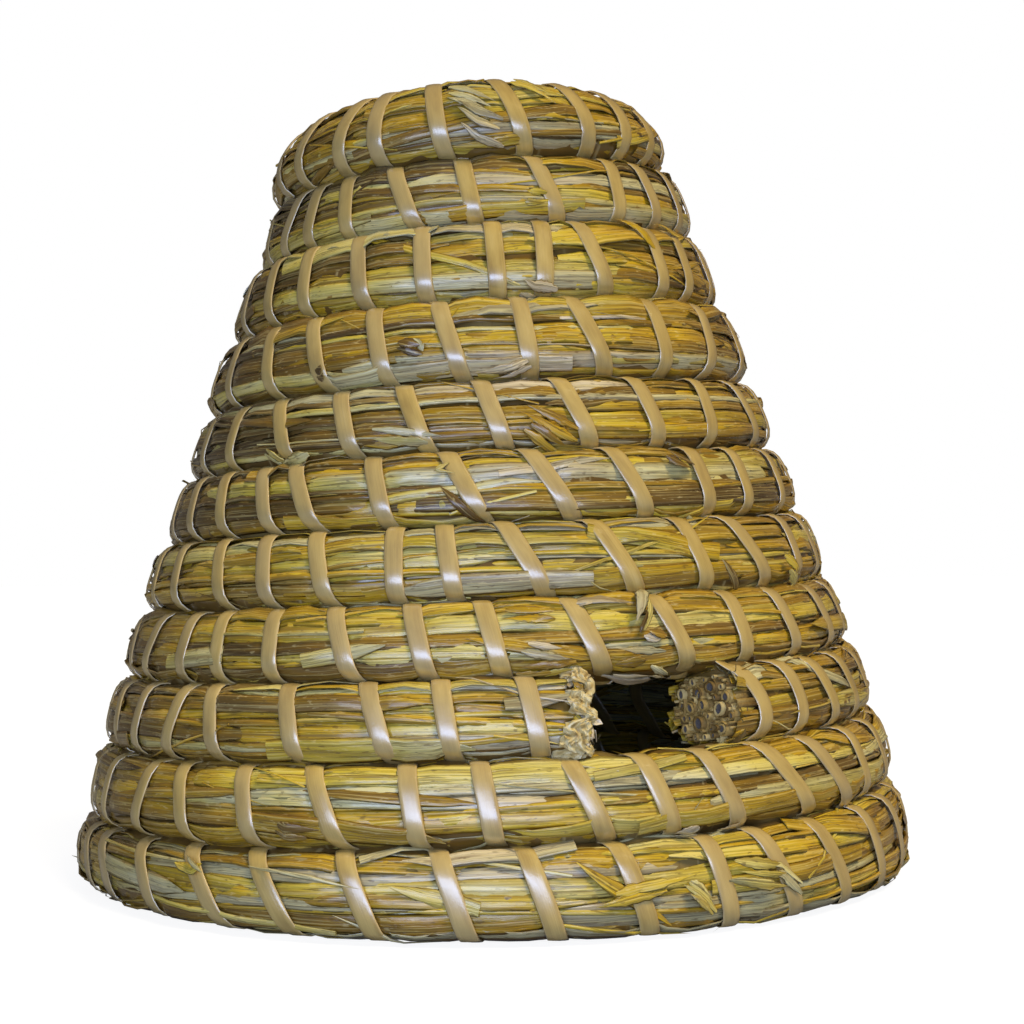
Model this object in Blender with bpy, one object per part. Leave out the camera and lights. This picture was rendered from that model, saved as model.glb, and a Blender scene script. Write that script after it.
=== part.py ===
"""Bee skep: one thick straw rope laid in a spiral and bound with split cane.

The rope starts in the middle of the crown and runs down to the ground. A place along it is
given in turns: turn 1 is the front of the first wall course, turn 2 the front of the second,
and the back of the skep lies half a turn further on. The front is -Y and the right is +X.
Sections of the rope are drawn in the upright plane through the axis, as radius and height.
"""

import math

import bmesh
import bpy
import numpy as np
from mathutils import Matrix, Vector

# Split cane strip that binds the rope
STRIP_WIDTH = 0.0076
STRIP_THICKNESS = 0.0008

# Room between pieces
CLEARANCE = 0.0003
BEND_ALLOWANCE = 0.0007  # a flat strip stands this much off a rope that bends away under it

# Straw rope
ROPE_THICKNESS = 0.029
CORNER_CUT = 0.75  # how much is taken off the section's corners: 1 makes it a regular octagon

# Crown: where the rope starts, and its thickness by turn as a share of the usual thickness
START_TURN = -1.5
START_RADIUS = 0.008
PITH_RADIUS = 0.002  # pinhole left where the rope starts to coil
CROWN_SHARE = {START_TURN: 0.534, START_TURN + 1: 0.81, 0: 0.897}

# Wall: thickness of each course at the front as a share of the usual, from the top course down
COURSE_SHARE = (1.155, 0.983, 1.155, 1.155, 0.966, 0.966, 1.0, 0.948, 0.983, 1.0, 1.0)
COURSES = len(COURSE_SHARE)
SEAM = 0.5  # each course starts and ends this part of a turn from the front, so at the back

# Slope of the wall in degrees below the horizontal, from each turn to the next one
STEP_SLOPE = {-1: 6, 0: 22, 1: 79, 2: 72, 3: 69, 4: 69.5, 5: 69.5, 6: 70, 7: 70.5, 8: 72, 9: 75, 10: 78}

# Foot: the last course fills the space between the course above it and level ground
FOOT_HEIGHT = 0.033  # height of that space at the front
LEVELLING_TURNS = 0.25
TAIL_TIP_HEIGHT = 0.0025
TAIL_TIP_WIDTH = 0.5  # share of the rope's width that is left at the tip

# The whole skep leans a little to the left, by this much for each metre of height
LEAN_TO_LEFT = 0.015

# Entrance in one of the courses, by angle from the front towards the right, in degrees
ENTRANCE_COURSE = 9
ENTRANCE_LEFT = 13.0
ENTRANCE_RIGHT_INSIDE = 29.0
ENTRANCE_RIGHT_OUTSIDE = 34.0

# Stitches that show from the front, by angle from the front towards the right, in degrees
SEEN_STITCHES = {
    1: (-55, -38, -28, -12, 8, 29, 46, 61),
    2: (-58, -48, -36, -20, -3, 17, 38, 51),
    3: (-56, -43, -28, -13, 3, 14, 26, 45, 56),
    4: (-63, -48, -35, -21, -7, 8, 21, 38, 54, 71),
    5: (-67, -54, -40, -26, -13, 1, 16, 31, 46, 62),
    6: (-62, -51, -40, -32, -18, -4, 10, 24, 39, 50, 65),
    7: (-59, -46, -36, -26, -14, -6, 5, 19, 33, 45, 59),
    8: (-61, -50, -42, -32, -21, -10, 0, 13, 26, 38, 49, 62),
    9: (-58, -48, -40, -27, -15, -6, 5, 38, 46, 54, 63),
    10: (-64, -52, -43, -32, -21, -10, -1, 11, 20, 29, 40, 49, 58),
    11: (-67, -59, -48, -37, -27, -16, -5, 5, 16, 27, 36, 46, 57),
}
# How many degrees further to the right those stitches end, from the top of the rope down
SEEN_LEANS = {
    1: (-4, -4, 1, 6, 10, 7, 0, 0),
    2: (-7, -2, 2, 8, 4, 7, 0, 5),
    3: (4, 3, 4, 2, 1, -1, 6, 1, 0),
    4: (2, 5, 7, 5, 6, 2, 7, 1, -3, 1),
    5: (0, 0, 6, 5, 6, 5, 6, 4, 0, 6),
    6: (3, 4, 5, 7, 4, 7, 8, 6, 2, 1, 0),
    7: (3, 4, 3, 4, 1, 2, 7, 7, 4, 8, 1),
    8: (-4, -1, 1, 1, 4, 3, 3, 5, 5, 2, 4, 5),
    9: (-1, -3, 3, 3, 4, 2, 2, 4, 2, 5, 4),
    10: (-1, -3, 3, 3, 5, 2, 2, 5, 4, 5, 9, 9, 3),
    11: (8, 8, 6, 8, 7, 5, 4, 4, 4, 3, 6, 6, 4),
}
USUAL_LEAN = 4
SEAM_MARGIN = 7.0  # degrees kept free of stitches on each side of the back
CROWN_STITCHES = 11
TAIL_STITCHES = 2

# Fineness of the model
STATIONS = 36  # sections in a turn
FLATS = 8  # sides of a section
ROUNDING = 1e-6

# Corners that a strip passes on its way down the inside, and the share of its advance there
INSIDE_RUN = ((4, 0.1), (5, 0.3), (6, 0.7), (7, 0.9))

STRAW_COLOURS = ((0.50, 0.30, 0.05), (0.44, 0.27, 0.06), (0.54, 0.34, 0.08))
CANE_COLOUR = (0.60, 0.38, 0.14)

ROOT_TWO = math.sqrt(2)


def by_turn(table, turns):
    """Values of a table at these turns, in straight lines between its entries."""
    keys = sorted(table)
    return np.interp(turns, keys, [table[key] for key in keys])


def station(turn):
    """Number of the section at this turn."""
    return round((turn - START_TURN) * STATIONS)


def coil_room(slope):
    """Room between two turns for the strips of both, where the step between them has this slope."""
    return 2 * STRIP_THICKNESS + 3 * CLEARANCE + BEND_ALLOWANCE * math.cos(slope)


def lay_coil():
    """Centre line of the rope, packed turn against turn: each turn lies on the one before it."""
    share = dict(CROWN_SHARE)
    share.update({course + 1: value for course, value in enumerate(COURSE_SHARE)})
    turns = START_TURN + np.arange(station(COURSES + SEAM + LEVELLING_TURNS) + 1) / STATIONS
    half = by_turn(share, turns) * ROPE_THICKNESS / 2
    slope = np.radians(by_turn(STEP_SLOPE, turns))
    radius = np.zeros(len(turns))
    height = np.zeros(len(turns))
    for here in range(len(turns)):
        above = max(here - STATIONS, 0)
        grown = min(here / STATIONS, 1.0)
        reach = (half[above] + half[max(here, STATIONS)] + coil_room(slope[above])) * grown
        start = radius[above] if here > STATIONS else START_RADIUS
        radius[here] = start + reach * math.cos(slope[above])
        height[here] = height[above] - reach * math.sin(slope[above])
    above = station(COURSES - 1)
    under_side = height[above] - (half[above] + coil_room(slope[above])) * math.sin(slope[above])
    return turns, half, slope, radius, height - under_side + FOOT_HEIGHT


TURNS, HALF, SLOPE, RADIUS, HEIGHT = lay_coil()
FOOT_START = COURSES - SEAM
TAIL_START = COURSES + SEAM


def natural_under_side(turn):
    """Height of the rope's under side where the wall still runs on in its spiral."""
    here = station(turn)
    return HEIGHT[here] - HALF[here] / math.sin(SLOPE[here])


def floor_under(turn):
    """Height of what the foot lies on: the tail at its start, and then level ground."""
    left = 1 - (turn - FOOT_START) / LEVELLING_TURNS
    return natural_under_side(FOOT_START) * min(max(left, 0.0), 1.0)


def cut_corner(one, other):
    """Distance of the flat that takes the corner off between two flats at right angles."""
    return (one + other) / ROOT_TWO - (ROOT_TWO - 1) * min(one, other) * CORNER_CUT


def flat_angles(down, up):
    """Directions of the eight flats: down, three over the outside, up, three over the inside."""
    outside = [down + (up - down) * step / 4 for step in range(4)]
    inside = [up + (down + 2 * math.pi - up) * step / 4 for step in range(4)]
    return np.array(outside + inside)


def flat_distances(down, side, up):
    """Distances of the eight flats from the middle, with the corners between them taken off."""
    low, high = cut_corner(side, down), cut_corner(side, up)
    return np.array([down, low, side, high, up, high, side, low])


def wall_section(here):
    """Middle, flat directions and flat distances of the rope in the crown and the wall."""
    above = here - STATIONS if here >= STATIONS else here
    inward = HALF[here] if here >= STATIONS else RADIUS[here] - PITH_RADIUS
    angles = flat_angles(-SLOPE[here], math.pi - SLOPE[above])
    return (RADIUS[here], HEIGHT[here]), angles, flat_distances(HALF[here], HALF[here], inward)


def foot_section(here):
    """The same for the last course, whose under side is level."""
    above = here - STATIONS
    slope, reach = SLOPE[above], HALF[above] + coil_room(SLOPE[above])
    roof_radius = RADIUS[above] + reach * math.cos(slope)
    roof_height = HEIGHT[above] - reach * math.sin(slope)
    floor = floor_under(TURNS[here])
    top = roof_height + (RADIUS[here] - roof_radius) / math.tan(slope)
    middle = (top + floor) / 2
    up = (RADIUS[here] - roof_radius) * math.cos(slope) + (roof_height - middle) * math.sin(slope)
    angles = flat_angles(-math.pi / 2, math.pi - slope)
    return (RADIUS[here], middle), angles, flat_distances(middle - floor, HALF[here], up)


def tail_height(here):
    return floor_under(TURNS[here] - 1) - coil_room(SLOPE[here - STATIONS])


def tail_section(here):
    """The same for the tail, a wedge that thins out under the start of the last course."""
    run = (TURNS[here] - TAIL_START) / LEVELLING_TURNS
    radius = RADIUS[here] + (RADIUS[here - STATIONS] - RADIUS[here]) * run
    side = HALF[here] * (1 - run * (1 - TAIL_TIP_WIDTH))
    middle = tail_height(here) / 2
    return (radius, middle), flat_angles(-math.pi / 2, math.pi / 2), flat_distances(middle, side, middle)


def tail_end():
    """Turn at which the tail has thinned out."""
    stations = range(station(TAIL_START), len(TURNS))
    heights = [-tail_height(here) for here in stations]
    return float(np.interp(-TAIL_TIP_HEIGHT, heights, [TURNS[here] for here in stations]))


SPANS = {
    "wall": (wall_section, START_TURN, FOOT_START),
    "foot": (foot_section, FOOT_START, TAIL_START),
    "tail": (tail_section, TAIL_START, tail_end()),
}


def in_space(radius, height, turn):
    """The point at this radius and height, on the side of the skep where the turn is."""
    angle = -2 * math.pi * turn
    return (radius * math.sin(angle) - LEAN_TO_LEFT * height, -radius * math.cos(angle), height)


def skin(span, layer):
    """Corners of every section of a span, in space: of the rope, or of the strip round it.

    Layer 0 is the rope's own skin, 1 the strip's flat side and 2 the crown of its back. A strip
    under a rope that lies on the ground is pressed into the straw, so it never reaches lower.
    """
    section, first, last = SPANS[span]
    spacing = (0, CLEARANCE, CLEARANCE + STRIP_THICKNESS)[layer]
    rows = []
    for here in range(station(first), math.floor((last - START_TURN) * STATIONS + ROUNDING) + 1):
        middle, angles, distances = section(here)
        facing_out = np.maximum(np.cos(angles), 0) if layer else 0
        margins = spacing + BEND_ALLOWANCE * facing_out
        if layer and span != "wall":
            bottom = middle[1] - distances[0]
            margins[0] -= max(0.0, 2 * CLEARANCE + STRIP_THICKNESS - bottom)
        distances = distances + margins
        row = []
        for flat in range(FLATS):
            following = (flat + 1) % FLATS
            opening = angles[following] - angles[flat] + (2 * math.pi if following == 0 else 0)
            along = (distances[following] - distances[flat] * math.cos(opening)) / math.sin(opening)
            cosine, sine = math.cos(angles[flat]), math.sin(angles[flat])
            radius = middle[0] + distances[flat] * cosine - along * sine
            height = middle[1] + distances[flat] * sine + along * cosine
            row.append(in_space(radius, height, TURNS[here]))
        rows.append(row)
    return np.array(rows)


SKINS = {(span, layer): skin(span, layer) for span in SPANS for layer in range(3)}


def skin_point(span, layer, turn, corner):
    """Point of that skin at any turn, on the straight line between its two nearest sections."""
    rows = SKINS[span, layer]
    place = (turn - SPANS[span][1]) * STATIONS
    before = min(max(int(place), 0), len(rows) - 2)
    return rows[before, corner] + (rows[before + 1, corner] - rows[before, corner]) * (place - before)


def turns_wide(length, point):
    """How many turns this length along the rope takes up, at that point."""
    return length / (2 * math.pi * math.hypot(point[0], point[1]))


def turn_at(course, degrees):
    """Turn of a place on a course, by its angle from the front towards the right."""
    return course - degrees / 360


def make_object(name, mesh, colour, collection):
    """Adds the finished mesh as a named object with its own material."""
    mesh.shade_smooth()
    mesh.set_sharp_from_angle(angle=math.radians(60))
    material = bpy.data.materials.new(name)
    material.use_nodes = True
    shader = material.node_tree.nodes["Principled BSDF"]
    shader.inputs["Base Color"].default_value = (*colour, 1)
    shader.inputs["Roughness"].default_value = 0.55
    shader.inputs["Metallic"].default_value = 0.0
    material.diffuse_color = (*colour, 1)
    mesh.materials.append(material)
    made = bpy.data.objects.new(name, mesh)
    collection.objects.link(made)
    return made


def loft(name, sections):
    """Closed body through sections of equal corner count, with a flat cap at each end."""
    shape = bmesh.new()
    rings = [[shape.verts.new(point) for point in section] for section in sections]
    for ring, following in zip(rings, rings[1:]):
        for corner in range(len(ring)):
            side = (corner + 1) % len(ring)
            shape.faces.new((ring[corner], ring[side], following[side], following[corner]))
    shape.faces.new(rings[0])
    shape.faces.new(rings[-1])
    bmesh.ops.recalc_face_normals(shape, faces=shape.faces)
    mesh = bpy.data.meshes.new(name)
    shape.to_mesh(mesh)
    shape.free()
    return mesh


def rope(name, span, first, last, colour, collection, slant=0.0):
    """Stretch of rope between two turns. With a slant its far end is cut askew, further in."""
    seam = turns_wide(CLEARANCE / 2, skin_point(span, 0, first, 0))
    ends = [skin_point(span, 0, last - seam, corner) for corner in range(FLATS)]
    radii = [math.hypot(point[0], point[1]) for point in ends]
    inwardness = [(max(radii) - radius) / (max(radii) - min(radii)) for radius in radii]
    sections = [[skin_point(span, 0, first + seam, corner) for corner in range(FLATS)]]
    for here in range(station(first), station(last)):
        if first + 2 * seam < TURNS[here] < last - 2 * seam:
            sections.append(SKINS[span, 0][here - station(SPANS[span][1])])
    sections.append(
        [skin_point(span, 0, last - seam + slant * inwardness[corner], corner) for corner in range(FLATS)]
    )
    return make_object(name, loft(name, sections), colour, collection)


def strip(name, span, stitches, collection):
    """Cane strip that winds up over the outside of the rope and down its inside."""
    sections = []
    for number, (low, high) in enumerate(stitches):
        places = [(corner, low + (high - low) * corner / 3) for corner in range(4)]
        if number + 1 < len(stitches):
            advance = stitches[number + 1][0] - high
            places += [(corner, high + advance * share) for corner, share in INSIDE_RUN]
        else:
            places.append((4, high))
        for corner, place in places:
            half_width = turns_wide(STRIP_WIDTH / 2, skin_point(span, 1, place, corner))
            edges = [skin_point(span, 1, place + side * half_width, corner) for side in (-1, 1)]
            sections.append([*edges, skin_point(span, 2, place, corner)])
    return make_object(name, loft(name, sections), CANE_COLOUR, collection)


def press_strip_in(straw, span, stitches, cutters):
    """Grooves across the under side of a rope, which take the strip that binds it."""
    shape = bmesh.new()
    for number, (low, _) in enumerate(stitches):
        advance = low - stitches[number - 1][1] if number else 0
        outer = Vector(skin_point(span, 1, low, 0))
        inner = Vector(skin_point(span, 1, low - advance * (1 - INSIDE_RUN[-1][1]), 7))
        ceiling = max(outer.z, inner.z) + CLEARANCE
        if ceiling <= skin_point(span, 0, low, 0)[2]:
            continue
        run = (outer - inner).to_2d()
        size = (run.length + STRIP_WIDTH, STRIP_WIDTH + 4 * CLEARANCE, ceiling + FOOT_HEIGHT, 1)
        middle = Vector((*((outer + inner) / 2).to_2d(), (ceiling - FOOT_HEIGHT) / 2))
        turned = Matrix.Translation(middle) @ Matrix.Rotation(math.atan2(run.y, run.x), 4, "Z")
        bmesh.ops.create_cube(shape, size=1, matrix=turned @ Matrix.Diagonal(size))
    mesh = bpy.data.meshes.new(straw.name + "_grooves")
    shape.to_mesh(mesh)
    shape.free()
    cutter = bpy.data.objects.new(mesh.name, mesh)
    cutter.hide_render = True
    cutter.display_type = "WIRE"
    cutters.objects.link(cutter)
    groove = straw.modifiers.new("grooves", "BOOLEAN")
    groove.operation = "DIFFERENCE"
    groove.object = cutter


def stitch(turn, lean=USUAL_LEAN):
    """Turns of a stitch's lower and upper end, from its middle and its lean in degrees."""
    half = lean / 360 / 2
    return turn - half, turn + half


def evenly(first, last, spacing):
    """Angles from first to last, the first left out, in steps close to the spacing."""
    count = max(round(abs(last - first) / spacing), 1)
    return [first + (last - first) * step / count for step in range(1, count + 1)]


def course_stitches(course):
    """Stitches of a course: those seen from the front, and the rest at their spacing."""
    seen = SEEN_STITCHES[course]
    missing = ENTRANCE_RIGHT_OUTSIDE - ENTRANCE_LEFT if course == ENTRANCE_COURSE else 0
    spacing = (seen[-1] - seen[0] - missing) / (len(seen) - 1)
    right = evenly(seen[-1], 180 - SEAM_MARGIN, spacing)
    left = evenly(seen[0], SEAM_MARGIN - 180, spacing)
    in_front = [stitch(turn_at(course, angle), lean) for angle, lean in zip(seen, SEEN_LEANS[course])]
    behind = [stitch(turn_at(course, angle)) for angle in (*left, *right)]
    return sorted(in_front + behind)


def build():
    for thing in list(bpy.data.objects):
        bpy.data.objects.remove(thing)
    skep = bpy.data.collections.new("bee_skep")
    cutters = bpy.data.collections.new("bee_skep_cutters")
    for collection in (skep, cutters):
        bpy.context.scene.collection.children.link(collection)

    rope("crown_coil", "wall", START_TURN, SEAM, STRAW_COLOURS[0], skep)
    crown_turns = np.linspace(SEAM - 1, SEAM, CROWN_STITCHES + 2)[1:-1]
    strip("cane_crown", "wall", [stitch(turn) for turn in crown_turns], skep)

    for course in range(1, COURSES + 1):
        start, end = course - SEAM, course + SEAM
        span = "foot" if course == COURSES else "wall"
        colour = STRAW_COLOURS[course % len(STRAW_COLOURS)]
        stitches = course_stitches(course)
        if course == ENTRANCE_COURSE:
            right_end = turn_at(course, ENTRANCE_RIGHT_OUTSIDE)
            left_end = turn_at(course, ENTRANCE_LEFT)
            slant = (ENTRANCE_RIGHT_OUTSIDE - ENTRANCE_RIGHT_INSIDE) / 360
            rope(f"rope_course_{course:02d}_right", span, start, right_end, colour, skep, slant)
            rope(f"rope_course_{course:02d}_left", span, left_end, end, colour, skep)
            right_stitches = [(low, high) for low, high in stitches if high < right_end]
            left_stitches = [(low, high) for low, high in stitches if low > left_end]
            strip(f"cane_course_{course:02d}_right", span, right_stitches, skep)
            strip(f"cane_course_{course:02d}_left", span, left_stitches, skep)
            continue
        straw = rope(f"rope_course_{course:02d}", span, start, end, colour, skep)
        strip(f"cane_course_{course:02d}", span, stitches, skep)
        if course == COURSES:
            press_strip_in(straw, span, stitches, cutters)

    end = SPANS["tail"][2]
    tail = rope("rope_tail", "tail", TAIL_START, end, STRAW_COLOURS[1], skep)
    tail_stitches = [stitch(turn) for turn in np.linspace(TAIL_START, end, TAIL_STITCHES + 2)[1:-1]]
    strip("cane_tail", "tail", tail_stitches, skep)
    press_strip_in(tail, "tail", tail_stitches, cutters)

    corners = np.array([vertex.co for made in skep.objects for vertex in made.data.vertices])
    middle = (corners.min(axis=0) + corners.max(axis=0)) / 2
    centring = Matrix.Translation((-middle[0], -middle[1], 0))
    for made in (*skep.objects, *cutters.objects):
        made.data.transform(centring)


build()
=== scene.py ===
import math

import bpy
import numpy as np
from mathutils import Matrix, Vector


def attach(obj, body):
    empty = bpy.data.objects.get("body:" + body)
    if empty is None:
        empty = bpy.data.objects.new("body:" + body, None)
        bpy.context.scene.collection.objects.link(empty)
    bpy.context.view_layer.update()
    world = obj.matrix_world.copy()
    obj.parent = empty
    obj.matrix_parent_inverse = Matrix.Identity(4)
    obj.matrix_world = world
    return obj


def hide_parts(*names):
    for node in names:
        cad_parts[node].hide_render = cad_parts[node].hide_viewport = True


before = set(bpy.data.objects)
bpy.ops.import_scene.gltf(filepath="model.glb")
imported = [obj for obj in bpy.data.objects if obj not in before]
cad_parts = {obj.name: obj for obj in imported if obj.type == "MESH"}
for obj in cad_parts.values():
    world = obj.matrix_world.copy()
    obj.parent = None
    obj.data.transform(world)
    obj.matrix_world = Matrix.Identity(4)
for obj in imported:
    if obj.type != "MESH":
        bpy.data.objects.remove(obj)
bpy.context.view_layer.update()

# Straw rope: handfuls of dry reed stems and leaves, fed in as the rope is coiled from the middle
# of the crown down to the ground. Each turn lies on the one above it and is pressed against it.
# A place along the rope is given in turns: 1 is the front of the first wall course, 2 of the next.
ROPE_THICKNESS = 0.029
SQUARENESS = 3.3  # power of the rope's section: 2 makes it round, and more makes it squarer
START_TURN = -1.5
START_RADIUS = 0.008
PITH_RADIUS = 0.002  # pinhole in the middle of the crown
CROWN_SHARE = {START_TURN: 0.534, START_TURN + 1: 0.81, 0: 0.897}  # share of the usual thickness
COURSE_SHARE = (1.155, 0.983, 1.155, 1.155, 0.966, 0.966, 1.0, 0.948, 0.983, 1.0, 1.0)
COURSES = len(COURSE_SHARE)
SEAM = 0.5  # each course starts and ends this part of a turn from the front, so at the back
STEP_SLOPE = {-1: 6, 0: 22, 1: 79, 2: 72, 3: 69, 4: 69.5, 5: 69.5, 6: 70, 7: 70.5, 8: 72, 9: 75, 10: 78}
STRIP_THICKNESS = 0.0008
CLEARANCE = 0.0003
BEND_ALLOWANCE = 0.0007  # a flat strip stands this much off a rope that bends away under it
FOOT_HEIGHT = 0.033  # height of the last course at the front, pressed flat on level ground
FOOT_START = COURSES - SEAM
FOOT_BLEND_TURNS = 0.08
LEVELLING_TURNS = 0.25  # the last course reaches the ground after these, where the tail thins out
TAIL_START = COURSES + SEAM
TAIL_END = COURSES + 0.6734
SPARE_TURNS = 0.1
STATIONS = 108  # sections in a turn
LEAN_TO_LEFT = 0.015  # for each metre of height
AXIS = (0.00134, -0.00191)
ENTRANCE_COURSE = 9
ENTRANCE_LEFT = 13.0
ENTRANCE_RIGHT_INSIDE = 29.0
ENTRANCE_RIGHT_OUTSIDE = 34.0


def by_turn(table, turns):
    """Values of a table at these turns, in straight lines between its entries."""
    keys = sorted(table)
    return np.interp(turns, keys, [table[key] for key in keys])


def lay_coil():
    """Middle line, half thickness and wall slope of the rope, turn lying against turn."""
    shares = dict(CROWN_SHARE)
    shares.update({course + 1: value for course, value in enumerate(COURSE_SHARE)})
    count = round((TAIL_END + SPARE_TURNS - START_TURN) * STATIONS) + 1
    turns = START_TURN + np.arange(count) / STATIONS
    half = by_turn(shares, turns) * ROPE_THICKNESS / 2
    slope = np.radians(by_turn(STEP_SLOPE, turns))
    room = 2 * STRIP_THICKNESS + 3 * CLEARANCE + BEND_ALLOWANCE * np.cos(slope)
    radius = np.zeros(len(turns))
    height = np.zeros(len(turns))
    for here in range(len(turns)):
        above = max(here - STATIONS, 0)
        share = min(here / STATIONS, 1.0)
        reach = (half[above] + half[max(here, STATIONS)] + room[above]) * share
        start = radius[above] if here > STATIONS else START_RADIUS
        radius[here] = start + reach * math.cos(slope[above])
        height[here] = height[above] - reach * math.sin(slope[above])
    above = round((COURSES - 1 - START_TURN) * STATIONS)
    under_side = height[above] - (half[above] + room[above]) * math.sin(slope[above])
    return turns, half, slope, room, radius, height - under_side + FOOT_HEIGHT


TURNS, HALF, SLOPE, ROOM, RADIUS, HEIGHT = lay_coil()


def rope_sections():
    """For each station: middle, directions down and up, and reach down, out and up."""
    before = np.maximum(np.arange(len(TURNS)) - STATIONS, 0)
    at_foot = round((FOOT_START - START_TURN) * STATIONS)
    start_floor = HEIGHT[at_foot] - HALF[at_foot] / math.sin(SLOPE[at_foot])
    first_turn = TURNS < START_TURN + 1
    wall = [
        RADIUS,
        HEIGHT,
        -SLOPE,
        math.pi - SLOPE[before],
        HALF + ROOM / 2,
        HALF.copy(),
        np.where(first_turn, RADIUS - PITH_RADIUS, HALF + ROOM[before] / 2),
    ]
    floor = start_floor * np.clip(1 - (TURNS - FOOT_START) / LEVELLING_TURNS, 0, 1)
    reach = HALF[before] + ROOM[before] / 2
    roof_radius = RADIUS[before] + reach * np.cos(SLOPE[before])
    roof_height = HEIGHT[before] - reach * np.sin(SLOPE[before])
    middle = (roof_height + (RADIUS - roof_radius) / np.tan(SLOPE[before]) + floor) / 2
    up = (RADIUS - roof_radius) * np.cos(SLOPE[before]) + (roof_height - middle) * np.sin(SLOPE[before])
    foot = [RADIUS, middle, np.full(len(TURNS), -math.pi / 2), wall[3], middle - floor, HALF.copy(), up]
    run = np.clip((TURNS - TAIL_START) / LEVELLING_TURNS, 0, 1)
    tail_half = np.interp(TURNS - 1, TURNS, floor) / 2
    tail_side = HALF * (1 - run / 2)
    tail_radius = RADIUS + (RADIUS[before] - RADIUS) * run
    upright = np.full(len(TURNS), math.pi / 2)
    tail = [tail_radius, tail_half, -upright, upright, tail_half, tail_side, tail_half]
    at_foot = np.clip((TURNS - FOOT_START) / FOOT_BLEND_TURNS, 0, 1)
    at_tail = (TURNS >= TAIL_START).astype(float)
    wall_and_foot = [one + (other - one) * at_foot for one, other in zip(wall, foot)]
    return [one + (other - one) * at_tail for one, other in zip(wall_and_foot, tail)]


SECTIONS = rope_sections()


def rope_skin(turn, around, deep=0.0, share=1.0):
    """Points this deep under the rope's skin, and their outward directions.

    The angle around is 0 on the outside and a quarter turn on top of the rope. With a share under
    1 the points lie inside, at that share of the way from the rope's middle to its skin.
    """
    turn, around = np.broadcast_arrays(np.asarray(turn, float), np.asarray(around, float))
    around = (around + math.pi / 2) % (2 * math.pi) - math.pi / 2
    middle_radius, middle_height, down, up, reach_down, reach_out, reach_up = (
        np.interp(turn, TURNS, row) for row in SECTIONS
    )

    def in_section(angle):
        outside = angle < math.pi / 2
        direction = np.where(
            outside,
            down + (up - down) * (angle / math.pi + 0.5),
            up + (down + 2 * math.pi - up) * (angle / math.pi - 0.5),
        )
        tall = np.where(np.sin(angle) > 0, reach_up, reach_down)
        outward = np.abs(np.cos(angle) / reach_out) ** SQUARENESS
        upward = np.abs(np.sin(angle) / tall) ** SQUARENESS
        length = (outward + upward) ** (-1 / SQUARENESS)
        return length * np.cos(direction), length * np.sin(direction)

    step = 0.02
    one, other = in_section(around - step), in_section(around + step)
    normal = np.stack([other[1] - one[1], one[0] - other[0]], -1)
    normal /= np.linalg.norm(normal, axis=-1, keepdims=True)
    at = in_section(around)
    radius = middle_radius + at[0] * share - deep * normal[..., 0]
    height = middle_height + at[1] * share - deep * normal[..., 1]
    angle = -2 * math.pi * turn
    point = [
        radius * np.sin(angle) - LEAN_TO_LEFT * height + AXIS[0],
        -radius * np.cos(angle) + AXIS[1],
        height,
    ]
    outward = [normal[..., 0] * np.sin(angle), -normal[..., 0] * np.cos(angle), normal[..., 1]]
    return np.stack(point, -1), np.stack(outward, -1)


def turns_long(length, turn):
    """How many turns this length of rope takes up."""
    return length / (2 * math.pi * np.interp(turn, TURNS, SECTIONS[0]))


def turn_at(course, degrees):
    """Turn of a place on a course, by its angle from the front towards the right."""
    return course - degrees / 360


# Stitches: where the cane strip crosses the outside of each course, by angle from the front
# towards the right in degrees. The rest of a course, round the back, is stitched at its spacing.
STRIP_WIDTH = 0.0076
SEEN_STITCHES = {
    1: (-55, -38, -28, -12, 8, 29, 46, 61),
    2: (-58, -48, -36, -20, -3, 17, 38, 51),
    3: (-56, -43, -28, -13, 3, 14, 26, 45, 56),
    4: (-63, -48, -35, -21, -7, 8, 21, 38, 54, 71),
    5: (-67, -54, -40, -26, -13, 1, 16, 31, 46, 62),
    6: (-62, -51, -40, -32, -18, -4, 10, 24, 39, 50, 65),
    7: (-59, -46, -36, -26, -14, -6, 5, 19, 33, 45, 59),
    8: (-61, -50, -42, -32, -21, -10, 0, 13, 26, 38, 49, 62),
    9: (-58, -48, -40, -27, -15, -6, 5, 38, 46, 54, 63),
    10: (-64, -52, -43, -32, -21, -10, -1, 11, 20, 29, 40, 49, 58),
    11: (-67, -59, -48, -37, -27, -16, -5, 5, 16, 27, 36, 46, 57),
}
SEEN_LEANS = {
    1: (-4, -4, 1, 6, 10, 7, 0, 0),
    2: (-7, -2, 2, 8, 4, 7, 0, 5),
    3: (4, 3, 4, 2, 1, -1, 6, 1, 0),
    4: (2, 5, 7, 5, 6, 2, 7, 1, -3, 1),
    5: (0, 0, 6, 5, 6, 5, 6, 4, 0, 6),
    6: (3, 4, 5, 7, 4, 7, 8, 6, 2, 1, 0),
    7: (3, 4, 3, 4, 1, 2, 7, 7, 4, 8, 1),
    8: (-4, -1, 1, 1, 4, 3, 3, 5, 5, 2, 4, 5),
    9: (-1, -3, 3, 3, 4, 2, 2, 4, 2, 5, 4),
    10: (-1, -3, 3, 3, 5, 2, 2, 5, 4, 5, 9, 9, 3),
    11: (8, 8, 6, 8, 7, 5, 4, 4, 4, 3, 6, 6, 4),
}
USUAL_LEAN = 4
SEAM_MARGIN = 7.0  # degrees kept free of stitches on each side of the back
CROWN_STITCHES = 11
TAIL_STITCHES = 2
END_STITCH_CURVE = 2.2  # the strips beside the slanting cut end curve by this share of its slant


def evenly(first, last, spacing):
    """Angles from first to last, the first left out, in steps close to the spacing."""
    count = max(round(abs(last - first) / spacing), 1)
    return [first + (last - first) * step / count for step in range(1, count + 1)]


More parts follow.
